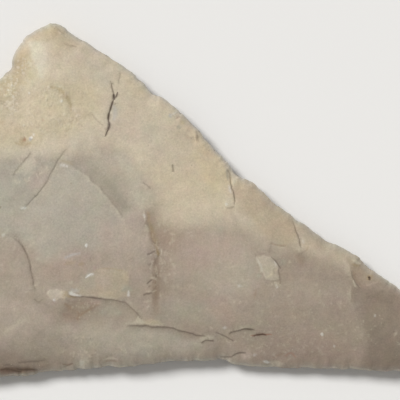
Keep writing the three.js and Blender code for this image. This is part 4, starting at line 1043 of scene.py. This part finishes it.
# The scratches: bells of colour in thin ovals, of lengths and turns that vary.
def drawScratches(x, y, tints):
    halfWidth, margin, firstSeed, crowding, sizes = 0.14, 0.3, 700, 0.5, (0.4, 1.6)
    for index, (u, v, halfU, halfV, count, halfLength, name, strength) in enumerate(scratches):
        rng = np.random.default_rng(firstSeed + index)
        centres = scatter(rng, u, v, halfU, halfV, count, crowding)
        lengths = halfLength * field["step"] * rng.uniform(*sizes, count)
        for (centreX, centreY), length, turn in zip(centres, lengths, rng.uniform(0, 180, count)):
            reach = 1.5 * length + margin
            near = (np.abs(x - centreX) < reach) & (np.abs(y - centreY) < reach)
            way = heading(turn)
            along = ((x[near] - centreX) * way[0] + (y[near] - centreY) * way[1]) / length
            across = ((x[near] - centreX) * way[1] - (y[near] - centreY) * way[0]) / halfWidth
            tints[name][near] = np.maximum(tints[name][near], strength * np.exp(-along**2 - across**2))


# The tints, from the one that lies lowest to the one on top.
tintNames = (
    "cream", "yellow", "straw", "tan", "slate", "blueGrey", "green", "silver", "pink", "rose", "umbra",
    "brown", "ochre", "worn", "patina", "pale", "bluish", "white", "stain", "rust", "dark")

# How far a soft border strays: broad waves for a broad border, and fine ones for every border. Each gives a
# share of the softness, the most in mm and the size.
strays = dict(broad=(0.5, 1, 4), fine=(0.4, 0.25, 1.2), seeds=(71, 81))

# Bands along the edge, broken up by waves of noise: a greyer band and a broader one, and on the rim a pale
# line that is a painted highlight. Each gives its strength and the distances in from the rim, in mm, over
# which it fades.
rimGreyAndHighlight = dict(
    worn=(0.75, 0.15, 0.5), rimGreyBroad=(0.35, 0.3, 1.4), pale=(0.6, 0.05, 0.3),
    waves=[(1, 1.3, 76), (0.5, 5, 77)], broken=(-0.7, 0.3),
)

# Bands of cream stone on the back: waves, and a share for each mm above a level low on the stone.
creamBands = dict(
    strength=0.9, waves=[(1, 30, 81), (0.4, 9, 82), (0.15, 2.5, 80)], slope=0.03, level=-6, full=(-0.2, 0.8),
)

# Clouds of colour on the back: tint, strength, size, where it starts and is full, seed, and whether it
# keeps to the cream stone, leaves it out or lies everywhere.
clouds = [
    ("yellow", 0.5, 15, 0.0, 0.9, 92, "cream"), ("pink", 0.7, 22, -0.4, 0.7, 83, "bare"),
    ("blueGrey", 0.7, 24, -0.2, 0.8, 86, "bare"), ("umbra", 0.3, 18, 0.0, 1.0, 95, "all"),
    ("patina", 0.3, 11, 0.6, 1.2, 98, "all"), ("stain", 0.25, 7, 0.9, 1.3, 89, "all"),
]


def stray(x, y, soft, seed):
    (broadShare, broadMost, broadSize), (fineShare, fineMost, fineSize) = strays["broad"], strays["fine"]
    return (min(broadShare * soft, broadMost) * noise(x, y, broadSize, seed)
            + min(fineShare * soft, fineMost) * noise(x, y, fineSize, seed + 1))


# The front's tints: the regions and patches first, then all that is small. Crisp is how far the small things
# stand out of the broad ones.
def tintsFront(x, y, depth):
    tints = {name: np.zeros(x.shape) for name in tintNames}
    lift = np.zeros(x.shape)
    areas = [(name, strength, soft, 0, at) for name, rows in regions.items() for strength, soft, at in rows]
    areas += [(name, *row) for name, rows in patches.items() for row in rows]
    for name, strength, soft, rise, at in areas:
        corners = onField(at)
        near = nearPoints(x, y, corners, 3 + soft)
        strayX, strayY = (stray(x[near], y[near], soft, seed) for seed in strays["seeds"])
        inside = inPatch(x[near] + strayX, y[near] + strayY, corners, soft)
        tints[name][near] = np.maximum(tints[name][near], strength * inside)
        lift[near] += rise * inside
    broad = {name: tint.copy() for name, tint in tints.items()}
    drawGrit(x, y, tints, lift)
    drawMarks(x, y, tints, lift)
    drawFineStrokes(x, y, tints)
    drawScratches(x, y, tints)
    crisp = np.max([tints[name] - broad[name] for name in tintNames], 0)
    broken = ease(waves(x, y, rimGreyAndHighlight["waves"]), *rimGreyAndHighlight["broken"])
    # along the rim: a greyer band, and a pale line that is a painted highlight
    worn, rimGreyBroad, pale = (
        rimGreyAndHighlight[name][0] * (1 - ease(depth, *rimGreyAndHighlight[name][1:])) for name in ("worn", "rimGreyBroad", "pale"))
    tints["worn"] = worn * broken + rimGreyBroad
    tints["pale"] = np.maximum(tints["pale"], pale * broken)
    return tints, crisp, lift


def tintsBack(x, y):
    tints = {name: np.zeros(x.shape) for name in tintNames}
    bands = waves(x, y, creamBands["waves"]) + creamBands["slope"] * (y - creamBands["level"])
    cream = creamBands["strength"] * ease(bands, *creamBands["full"])
    where = dict(cream=cream, bare=1 - cream, all=1)
    for name, strength, size, low, high, seed, place in clouds:
        cloud = waves(x, y, [(1, size, seed), (0.4, size / 3, seed + 1), (0.2, size / 8, seed + 2)])
        tints[name] = strength * ease(cloud, low, high) * where[place]
    tints["cream"] = cream
    return tints


# Height of one face over its places, with its tints and where they are crisp. The lens rises from the edge
# with the distance in, the scars are carved out of it, and bevels bring it to a flat on the tang.
def face(front, x, y, plan, rim, insetTable, rows):
    s = section
    inset = tableAt(insetTable, x, y)
    near = inset < s["rimBand"]
    depth, arc = inset.copy(), np.zeros(x.shape)
    rimDepth, arc[near] = rimPlace(x[near], y[near], rim)
    inner = ease(rimDepth, *s["rimBlend"])
    depth[near] = rimDepth * (1 - inner) + inset[near] * inner
    planX, planY = x + plan["middle"][0], y + plan["middle"][1]
    turn = 2 * math.pi / s["edgeWaverLength"]
    edge = s["edgeHeight"] + s["edgeWaver"] * np.sin(turn * planX) * np.cos(turn * planY)
    rise = lambda crown, reach: crown * (1 - np.exp(-(depth / reach)))
    top = edge + rise(s["frontCrown"], s["frontReach"])
    if front:
        onLower = ease(arc, *s["bevelEnds"]) * ease(plan["lengths"][0] - arc, *s["bevelEnds"])
        bevel = s["edgeBevel"] * onLower * (1 - np.exp(-depth / s["bevelReach"]))
        top += bevel * (1 - ease(depth, *s["bevelFade"]))
    bottom = np.maximum(0, edge - rise(s["backDrop"], s["backReach"]))
    most = s["carveLimit"] * (top - bottom)
    leadIn = np.minimum(1, depth / s["scarLeadIn"])
    rings = zip((s["wideScar"], s["trimScar"]), s["frontSeeds" if front else "backSeeds"])
    scars = [scar for size, seed in rings for scar in ringScars(size, seed, plan)]
    carve, behind, radius = scarDepth(scars, x, y)
    broken = ease(noise(x, y, *s["arrisNoise"]), -0.5, 0.5)
    arris = s["arrisPale"] * np.exp(-(behind / s["arrisDepth"])**2) * broken
    ripple = s["rippleHeight"] * np.sin(2 * math.pi * radius / s["rippleLength"])
    carve = carve + ripple * ease(carve, 0, s["rippleDepth"])
    uneven = waves(x, y, s["frontUneven" if front else "backUneven"])
    if front:
        fading, gone = s["drawnTo"]
        seen = ease(x, *s["drawnFrom"]) * ease(-x, -gone, -fading)
        seenX, seenY = seenFromAbove(x, y, top)
        tints, crisp, lift = tintsFront(seenX, seenY, depth)
        drawn, strokes = drawLines(seenX, seenY, lines)
        drawn += drawSwells(seenX, seenY) + lift
        arris *= 1 - seen
        least, crust, crustSize, crustSeed = s["crustRough"]
        cream, creamSize, creamSeed = s["creamRough"]
        uneven += ((least + crust * tints["yellow"]) * noise(x, y, crustSize, crustSeed)
                   + cream * tints["cream"] * noise(x, y, creamSize, creamSeed))
    else:
        seen = 0
        tints, crisp = tintsBack(x, y), np.zeros(x.shape)
        drawn, strokes = drawLines(x, y, backLines)
    carve = carve * (1 - seen) - drawn * leadIn
    for name, stroke in strokes.items():
        tints[name] = np.maximum(tints[name], stroke)
    tints["pale"] = np.maximum(tints["pale"], arris * leadIn * ease(depth, *s["arrisFade"]))
    carve = np.minimum(most, leadIn * carve) - uneven * leadIn
    small = np.zeros(x.shape)
    small[near] = retouchDepth(rows, arc[near], rimDepth)
    small = np.minimum(small, s["retouchLimit"] * np.abs((top if front else bottom) - edge))
    # the tang: a flat, ramps down to it from the body and bevels from its edges
    fromX, fromY = x - plan["neck"][0], y - plan["neck"][1]
    out = fromX * plan["axis"][0] + fromY * plan["axis"][1]
    across = np.abs(fromX * plan["across"][0] + fromY * plan["across"][1])
    offTang = np.maximum(np.maximum(-out, across - outline["neckWidth"] / 2), 0)
    ramp, bevel = s["tangRampSlope"] * offTang, s["tangBevelSlope"] * depth
    if front:
        flat = s["tangFrontHeight"]
        height = np.clip(top - carve, np.minimum(flat, edge + bevel) - ramp, flat + ramp) - small
        height = np.maximum(edge, height)
    else:
        flat = s["tangBackHeight"]
        height = np.clip(bottom + carve, flat - ramp, np.maximum(flat, edge - bevel) + ramp) + small
        height = np.clip(height, 0, edge)
    return height, edge, {**tints, "crisp": crisp}


# The grid of one face: rows run from the tang to the tip, columns from the cutting edge to the back, and
# each row bends through the spine. Columns crowd towards the two edges.
def gridPlaces(plan, columns):
    even = np.linspace(-1, 1, columns + 1)
    share = 0.5 * even + 0.5 * np.sin(even * math.pi / 2)
    edge = np.where((share < 0)[None, :, None], plan["lower"][:, None, :], plan["upper"][:, None, :])
    return plan["spine"][:, None, :] + (edge - plan["spine"][:, None, :]) * np.abs(share)[None, :, None]


# Two triangles for each square of the grid, cut along its shorter diagonal, without those that the closed
# ends leave no width.
def cells(index, places, flip):
    a, b, c, d = index[:-1, :-1], index[1:, :-1], index[1:, 1:], index[:-1, 1:]
    at = lambda i, j: places[i:len(places) - 1 + i, j:places.shape[1] - 1 + j]
    first = np.linalg.norm(at(0, 0) - at(1, 1), axis=2)
    second = np.linalg.norm(at(1, 0) - at(0, 1), axis=2)
    turned = first > second
    pickCorner = lambda one, other: np.where(turned, one, other)
    e, f, g, h = pickCorner(b, a), pickCorner(c, b), pickCorner(d, c), pickCorner(a, d)
    triangles = np.concatenate([np.stack(half, -1).reshape(-1, 3) for half in ([e, f, g], [e, g, h])])
    whole = np.all(triangles != np.roll(triangles, 1, 1), axis=1)
    triangles = triangles[whole]
    return triangles[:, ::-1] if flip else triangles


# Both faces in one mesh. The front has the rim's points, which the back shares, and each end of the grid is
# drawn together into one of them.
def makeStone():
    plan = makeOutline(outline)
    frontRows = retouchRows(retouch["front"], retouch["seed"], plan["rimLength"])
    backRows = retouchRows(retouch["back"], retouch["seed"] + 1, plan["rimLength"])
    rim = makeRim(plan, frontRows + backRows)
    plan["lower"] = biteRim(plan["lower"], plan["lowerArc"], rim)
    plan["upper"] = biteRim(plan["upper"], plan["upperArc"], rim)
    insetTable = makeInset(plan, rim)
    faces, points, tints, total = [], [], [], 0
    for name, rows in (("front", frontRows), ("back", backRows)):
        front = name == "front"
        places = gridPlaces(plan, outline[name + "Columns"])
        x, y = places[..., 0].ravel(), places[..., 1].ravel()
        height, edge, tint = face(front, x, y, plan, rim, insetTable, rows)
        grid = np.full(places.shape[:2], -1)
        inner, onRim = np.zeros(grid.shape, bool), np.zeros(grid.shape, bool)
        inner[1:-1, 1:-1] = True
        onRim[:, 0], onRim[1:-1, -1] = True, True
        height = np.where(inner.ravel(), height, edge)
        made = inner | onRim if front else inner
        grid[made] = total + np.arange(made.sum())
        if front:
            shared = grid[:, 0].copy(), grid[1:-1, -1].copy()
        else:
            grid[:, 0], grid[1:-1, -1] = shared
        grid[0, :], grid[-1, :] = grid[0, 0], grid[-1, 0]
        keep = made.ravel()
        points.append(np.column_stack([x, y, height])[keep])
        tints.append({key: value[keep] for key, value in tint.items()})
        faces.append(cells(grid, places, flip=not front))
        total += made.sum()
        print(name, "worked out:", int(made.sum()), "places")
    tints = {key: np.concatenate([part[key] for part in tints]) for key in tints[0]}
    return np.vstack(points), np.vstack(faces), tints


points, faces, tints = makeStone()


def addObject(name, data):
    thing = bpy.data.objects.new(name, data)
    bpy.context.scene.collection.objects.link(thing)
    return thing


# A mesh of triangles from arrays of points and corners, with a value at each point for every attribute.
def meshObject(name, points, faces, attributes):
    mesh = bpy.data.meshes.new(name)
    mesh.vertices.add(len(points))
    mesh.vertices.foreach_set("co", points.astype(np.float32).ravel())
    mesh.loops.add(faces.size)
    mesh.loops.foreach_set("vertex_index", faces.astype(np.int32).ravel())
    mesh.polygons.add(len(faces))
    mesh.polygons.foreach_set("loop_start", np.arange(0, faces.size, 3, dtype=np.int32))
    mesh.polygons.foreach_set("use_smooth", np.ones(len(faces), bool))
    mesh.update(calc_edges=True)
    for key, values in attributes.items():
        mesh.attributes.new(key, "FLOAT", "POINT").data.foreach_set("value", values.astype(np.float32))
    return addObject(name, mesh)


# The stone is made in millimetres. Its faces are merged where it is smooth, down to a count that any tool
# can hold, and the result is brought to metres. Faces stay where a dark, rust or white tint is above
# keptTint, or where anything small stands out of the broad colours by more than keptDetail.
thinning = dict(triangles=196000, keptTint=0.12, keptDetail=0.22)
crisp = tints.pop("crisp")
stone = meshObject("fineStone", points, faces, tints)
print("stone:", len(points), "vertices,", len(faces), "triangles")
kept = np.max([tints[name] for name in ("dark", "rust", "white")], 0) > thinning["keptTint"]
kept |= crisp > thinning["keptDetail"]
mergeable = stone.vertex_groups.new(name="mergeable")
mergeable.add(np.flatnonzero(~kept).tolist(), 1, "REPLACE")
thinner = stone.modifiers.new("thinner", "DECIMATE")
thinner.ratio = min(1, thinning["triangles"] / len(faces))
thinner.vertex_group = "mergeable"
bpy.context.view_layer.update()
thinned = bpy.data.meshes.new_from_object(stone.evaluated_get(bpy.context.evaluated_depsgraph_get()))
bpy.data.objects.remove(stone)
thinned.name = "chertBlade"
thinned.transform(Matrix.Scale(0.001, 4))
stone = addObject("chertBlade", thinned)
print("thinned to", len(thinned.polygons), "faces,", int(kept.sum()), "places kept")


# Chert: the colours are linear, and the sizes are in millimetres.
chert = dict(
    # some tints are also painted light: the dark, umber, brown and stain tints also paint shade, the pale,
    # white and silver ones also paint highlights, and the patina also a painted sheen
    ground=(0.372, 0.307, 0.239), cream=(0.575, 0.491, 0.365), yellow=(0.522, 0.443, 0.296),
    straw=(0.625, 0.521, 0.358), tan=(0.464, 0.381, 0.270), slate=(0.381, 0.352, 0.282),
    blueGrey=(0.421, 0.380, 0.306), green=(0.374, 0.339, 0.260), silver=(0.499, 0.448, 0.349),
    pink=(0.454, 0.377, 0.303), rose=(0.410, 0.314, 0.252), umbra=(0.246, 0.199, 0.150),
    brown=(0.303, 0.217, 0.149), ochre=(0.360, 0.270, 0.148), worn=(0.440, 0.410, 0.350),
    patina=(0.590, 0.545, 0.415), pale=(0.580, 0.515, 0.395), bluish=(0.462, 0.432, 0.390),
    white=(0.72, 0.70, 0.64), stain=(0.150, 0.090, 0.055), rust=(0.30, 0.115, 0.06),
    dark=(0.06, 0.036, 0.022),
    # noises: size, detail and roughness, then how far the colour, the hue or the roughness strays, and the
    # height of the bump
    mottle=(3.0, 6, 0.85, 0.15), grain=(0.36, 2, 0.8, 0.15), hue=(4.0, 5, 0.75, 0.085),
    gloss=(1.6, 3, 0.55, 0.08), bump=(0.35, 3, 0.65, 0.04),
    # dots: spacing and radius, the share of points that have one, and its strength
    fleck=(0.8, 0.14, 0.35, 0.45), pit=(1.7, 0.18, 0.2, 0.35),
    roughness=0.62, specular=0.4,
)


def colour(value):
    return (*value, 1)


def makeChert(c):
    material = bpy.data.materials.new("chert")
    material.use_nodes = True
    nodes, links = material.node_tree.nodes, material.node_tree.links
    shader = nodes["Principled BSDF"]
    inObject = nodes.new("ShaderNodeTexCoord").outputs["Object"]

    # sets each input to a value, or joins it to another node's output
    def fill(node, inputs):
        for key, value in inputs.items():
            if isinstance(value, bpy.types.NodeSocket):
                links.new(value, node.inputs[key])
            else:
                node.inputs[key].default_value = value
        return node

    def add(kind, inputs):
        return fill(nodes.new("ShaderNode" + kind), inputs)

    def moved(offset):
        return add("Mapping", {"Vector": inObject, "Location": offset}).outputs["Vector"]

    def noiseNode(size, detail, rough, at=inObject):
        return add("TexNoise", {"Vector": at, "Scale": 1000 / size, "Detail": detail, "Roughness": rough})

    def span(value, low, high, outLow, outHigh):
        return add("MapRange", {"Value": value, "From Min": low, "From Max": high,
                                "To Min": outLow, "To Max": outHigh}).outputs["Result"]

    # a noise round a middle: within its spread of a half, it becomes the middle give or take its amount
    def around(middle, noiseName, spread, at=inObject):
        size, detail, rough, amount = c[noiseName]
        value = noiseNode(size, detail, rough, at).outputs["Fac"]
        return span(value, 0.5 - spread, 0.5 + spread, middle - amount, middle + amount)

    def maths(operation, first, second):
        node = nodes.new("ShaderNodeMath")
        node.operation = operation
        return fill(node, {0: first, 1: second}).outputs["Value"]

    def mix(share, first, second, way="MIX"):
        node = nodes.new("ShaderNodeMix")
        node.data_type, node.blend_type = "RGBA", way
        return fill(node, {0: share, 6: first, 7: second}).outputs[2]

    # three unlike noises, one to each channel of the colour, close to 1
    def hueShift(size, detail, rough, amount):
        noises = noiseNode(size, detail, rough).outputs["Color"]
        node = nodes.new("ShaderNodeVectorMath")
        node.operation = "MULTIPLY_ADD"
        return fill(node, {0: noises, 1: (2 * amount,) * 3, 2: (1 - amount,) * 3}).outputs["Vector"]

    # small dots: round each random point, out to a radius that its random value sets, and none for most
    # points
    def specks(size, offset):
        spacing, radius, few, strength = size
        cell = add("TexVoronoi", {"Vector": moved(offset), "Scale": 1000 / spacing})
        chance = add("SeparateColor", {"Color": cell.outputs["Color"]}).outputs["Red"]
        reach = span(chance, 1 - few, 1, 0, radius / spacing)
        soft = maths("DIVIDE", maths("SUBTRACT", reach, cell.outputs["Distance"]), 0.4 * radius / spacing)
        return add("Clamp", {"Value": maths("MULTIPLY", soft, strength), "Max": strength}).outputs["Result"]

    body = colour(c["ground"])
    for name in tintNames:
        tint = nodes.new("ShaderNodeAttribute")
        tint.attribute_name = name
        body = mix(tint.outputs["Fac"], body, colour(c[name]))
    mottle, grain = around(1, "mottle", 0.25), around(1, "grain", 0.3, moved((0.1, 0.2, 0)))
    body = mix(1, body, maths("MULTIPLY", mottle, grain), "MULTIPLY")
    body = mix(1, body, hueShift(*c["hue"]), "MULTIPLY")
    for name, colourName, offset in (("fleck", "pale", (0.5, 0, 0)), ("pit", "stain", (0, 0.5, 0))):
        body = mix(specks(c[name], offset), body, colour(c[colourName]))
    links.new(body, shader.inputs["Base Color"])
    links.new(around(c["roughness"], "gloss", 0.2), shader.inputs["Roughness"])
    shader.inputs["Specular IOR Level"].default_value = c["specular"]
    *dents, height = c["bump"]
    bump = add("Bump", {"Height": noiseNode(*dents).outputs["Fac"], "Distance": height / 1000})
    links.new(bump.outputs["Normal"], shader.inputs["Normal"])
    return material


thinned.materials.clear()
thinned.materials.append(makeChert(chert))
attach(stone, "root")
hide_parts("blade")
print("chert blade dressed")


# Studio: a pale floor, a soft sun from the upper left and an even surround, which together bring out a flat
# surface in about its own colour. What the camera sees of the surround, and what gloss and glass show of
# it, is the backdrop, as pale as the floor. Lengths here are in metres, apart from the lens and sensor.
studio = dict(
    floorSize=8, floorColour=(0.86, 0.85, 0.83), floorRoughness=0.8, floorGap=0.00002,
    lightAzimuth=138, lightElevation=42, lightSpread=22, lightStrength=2.88,
    surround=(1.0, 0.99, 0.97), surroundStrength=0.33, backdrop=(0.87, 0.86, 0.835),
    lens=150, sensor=36, clipStart=0.01,
)


def makeFloor(s):
    half = s["floorSize"] / 2
    corners = np.array([(-half, -half), (half, -half), (half, half), (-half, half)])
    points = np.column_stack([corners, np.full(4, -s["floorGap"])])
    floor = meshObject("floor", points, np.array([(0, 1, 2), (0, 2, 3)]), {})
    material = bpy.data.materials.new("floor")
    material.use_nodes = True
    shader = material.node_tree.nodes["Principled BSDF"]
    shader.inputs["Base Color"].default_value = colour(s["floorColour"])
    shader.inputs["Roughness"].default_value = s["floorRoughness"]
    floor.data.materials.append(material)


def makeSurround(s):
    world = bpy.data.worlds.new("surround")
    world.use_nodes = True
    nodes, links = world.node_tree.nodes, world.node_tree.links
    lit, shown = nodes["Background"], nodes.new("ShaderNodeBackground")
    lit.inputs["Color"].default_value = colour(s["surround"])
    lit.inputs["Strength"].default_value = s["surroundStrength"]
    shown.inputs["Color"].default_value = colour(s["backdrop"])
    ray, choice = nodes.new("ShaderNodeLightPath"), nodes.new("ShaderNodeMixShader")
    direct = ray.outputs["Is Camera Ray"]
    for kind in ("Is Glossy Ray", "Is Transmission Ray"):
        either = nodes.new("ShaderNodeMath")
        either.operation = "MAXIMUM"
        links.new(direct, either.inputs[0])
        links.new(ray.outputs[kind], either.inputs[1])
        direct = either.outputs["Value"]
    for socket, plug in zip((direct, lit.outputs["Background"], shown.outputs["Background"]), choice.inputs):
        links.new(socket, plug)
    links.new(choice.outputs["Shader"], nodes["World Output"].inputs["Surface"])
    return world


def makeStudio(s):
    makeFloor(s)
    sun = bpy.data.lights.new("key", "SUN")
    sun.energy, sun.angle = s["lightStrength"], math.radians(s["lightSpread"])
    key = addObject("key", sun)
    key.rotation_euler = (0, math.radians(90 - s["lightElevation"]), math.radians(s["lightAzimuth"]))
    bpy.context.scene.world = makeSurround(s)
    bpy.context.scene.view_settings.view_transform = "Standard"
    camera = bpy.data.cameras.new("camera")
    camera.lens, camera.sensor_width, camera.clip_start = s["lens"], s["sensor"], s["clipStart"]
    viewer = addObject("camera", camera)
    viewer.location = [length / 1000 for length in (*field["middle"], field["eyeHeight"])]
    bpy.context.scene.camera = viewer


makeStudio(studio)
print("studio ready")
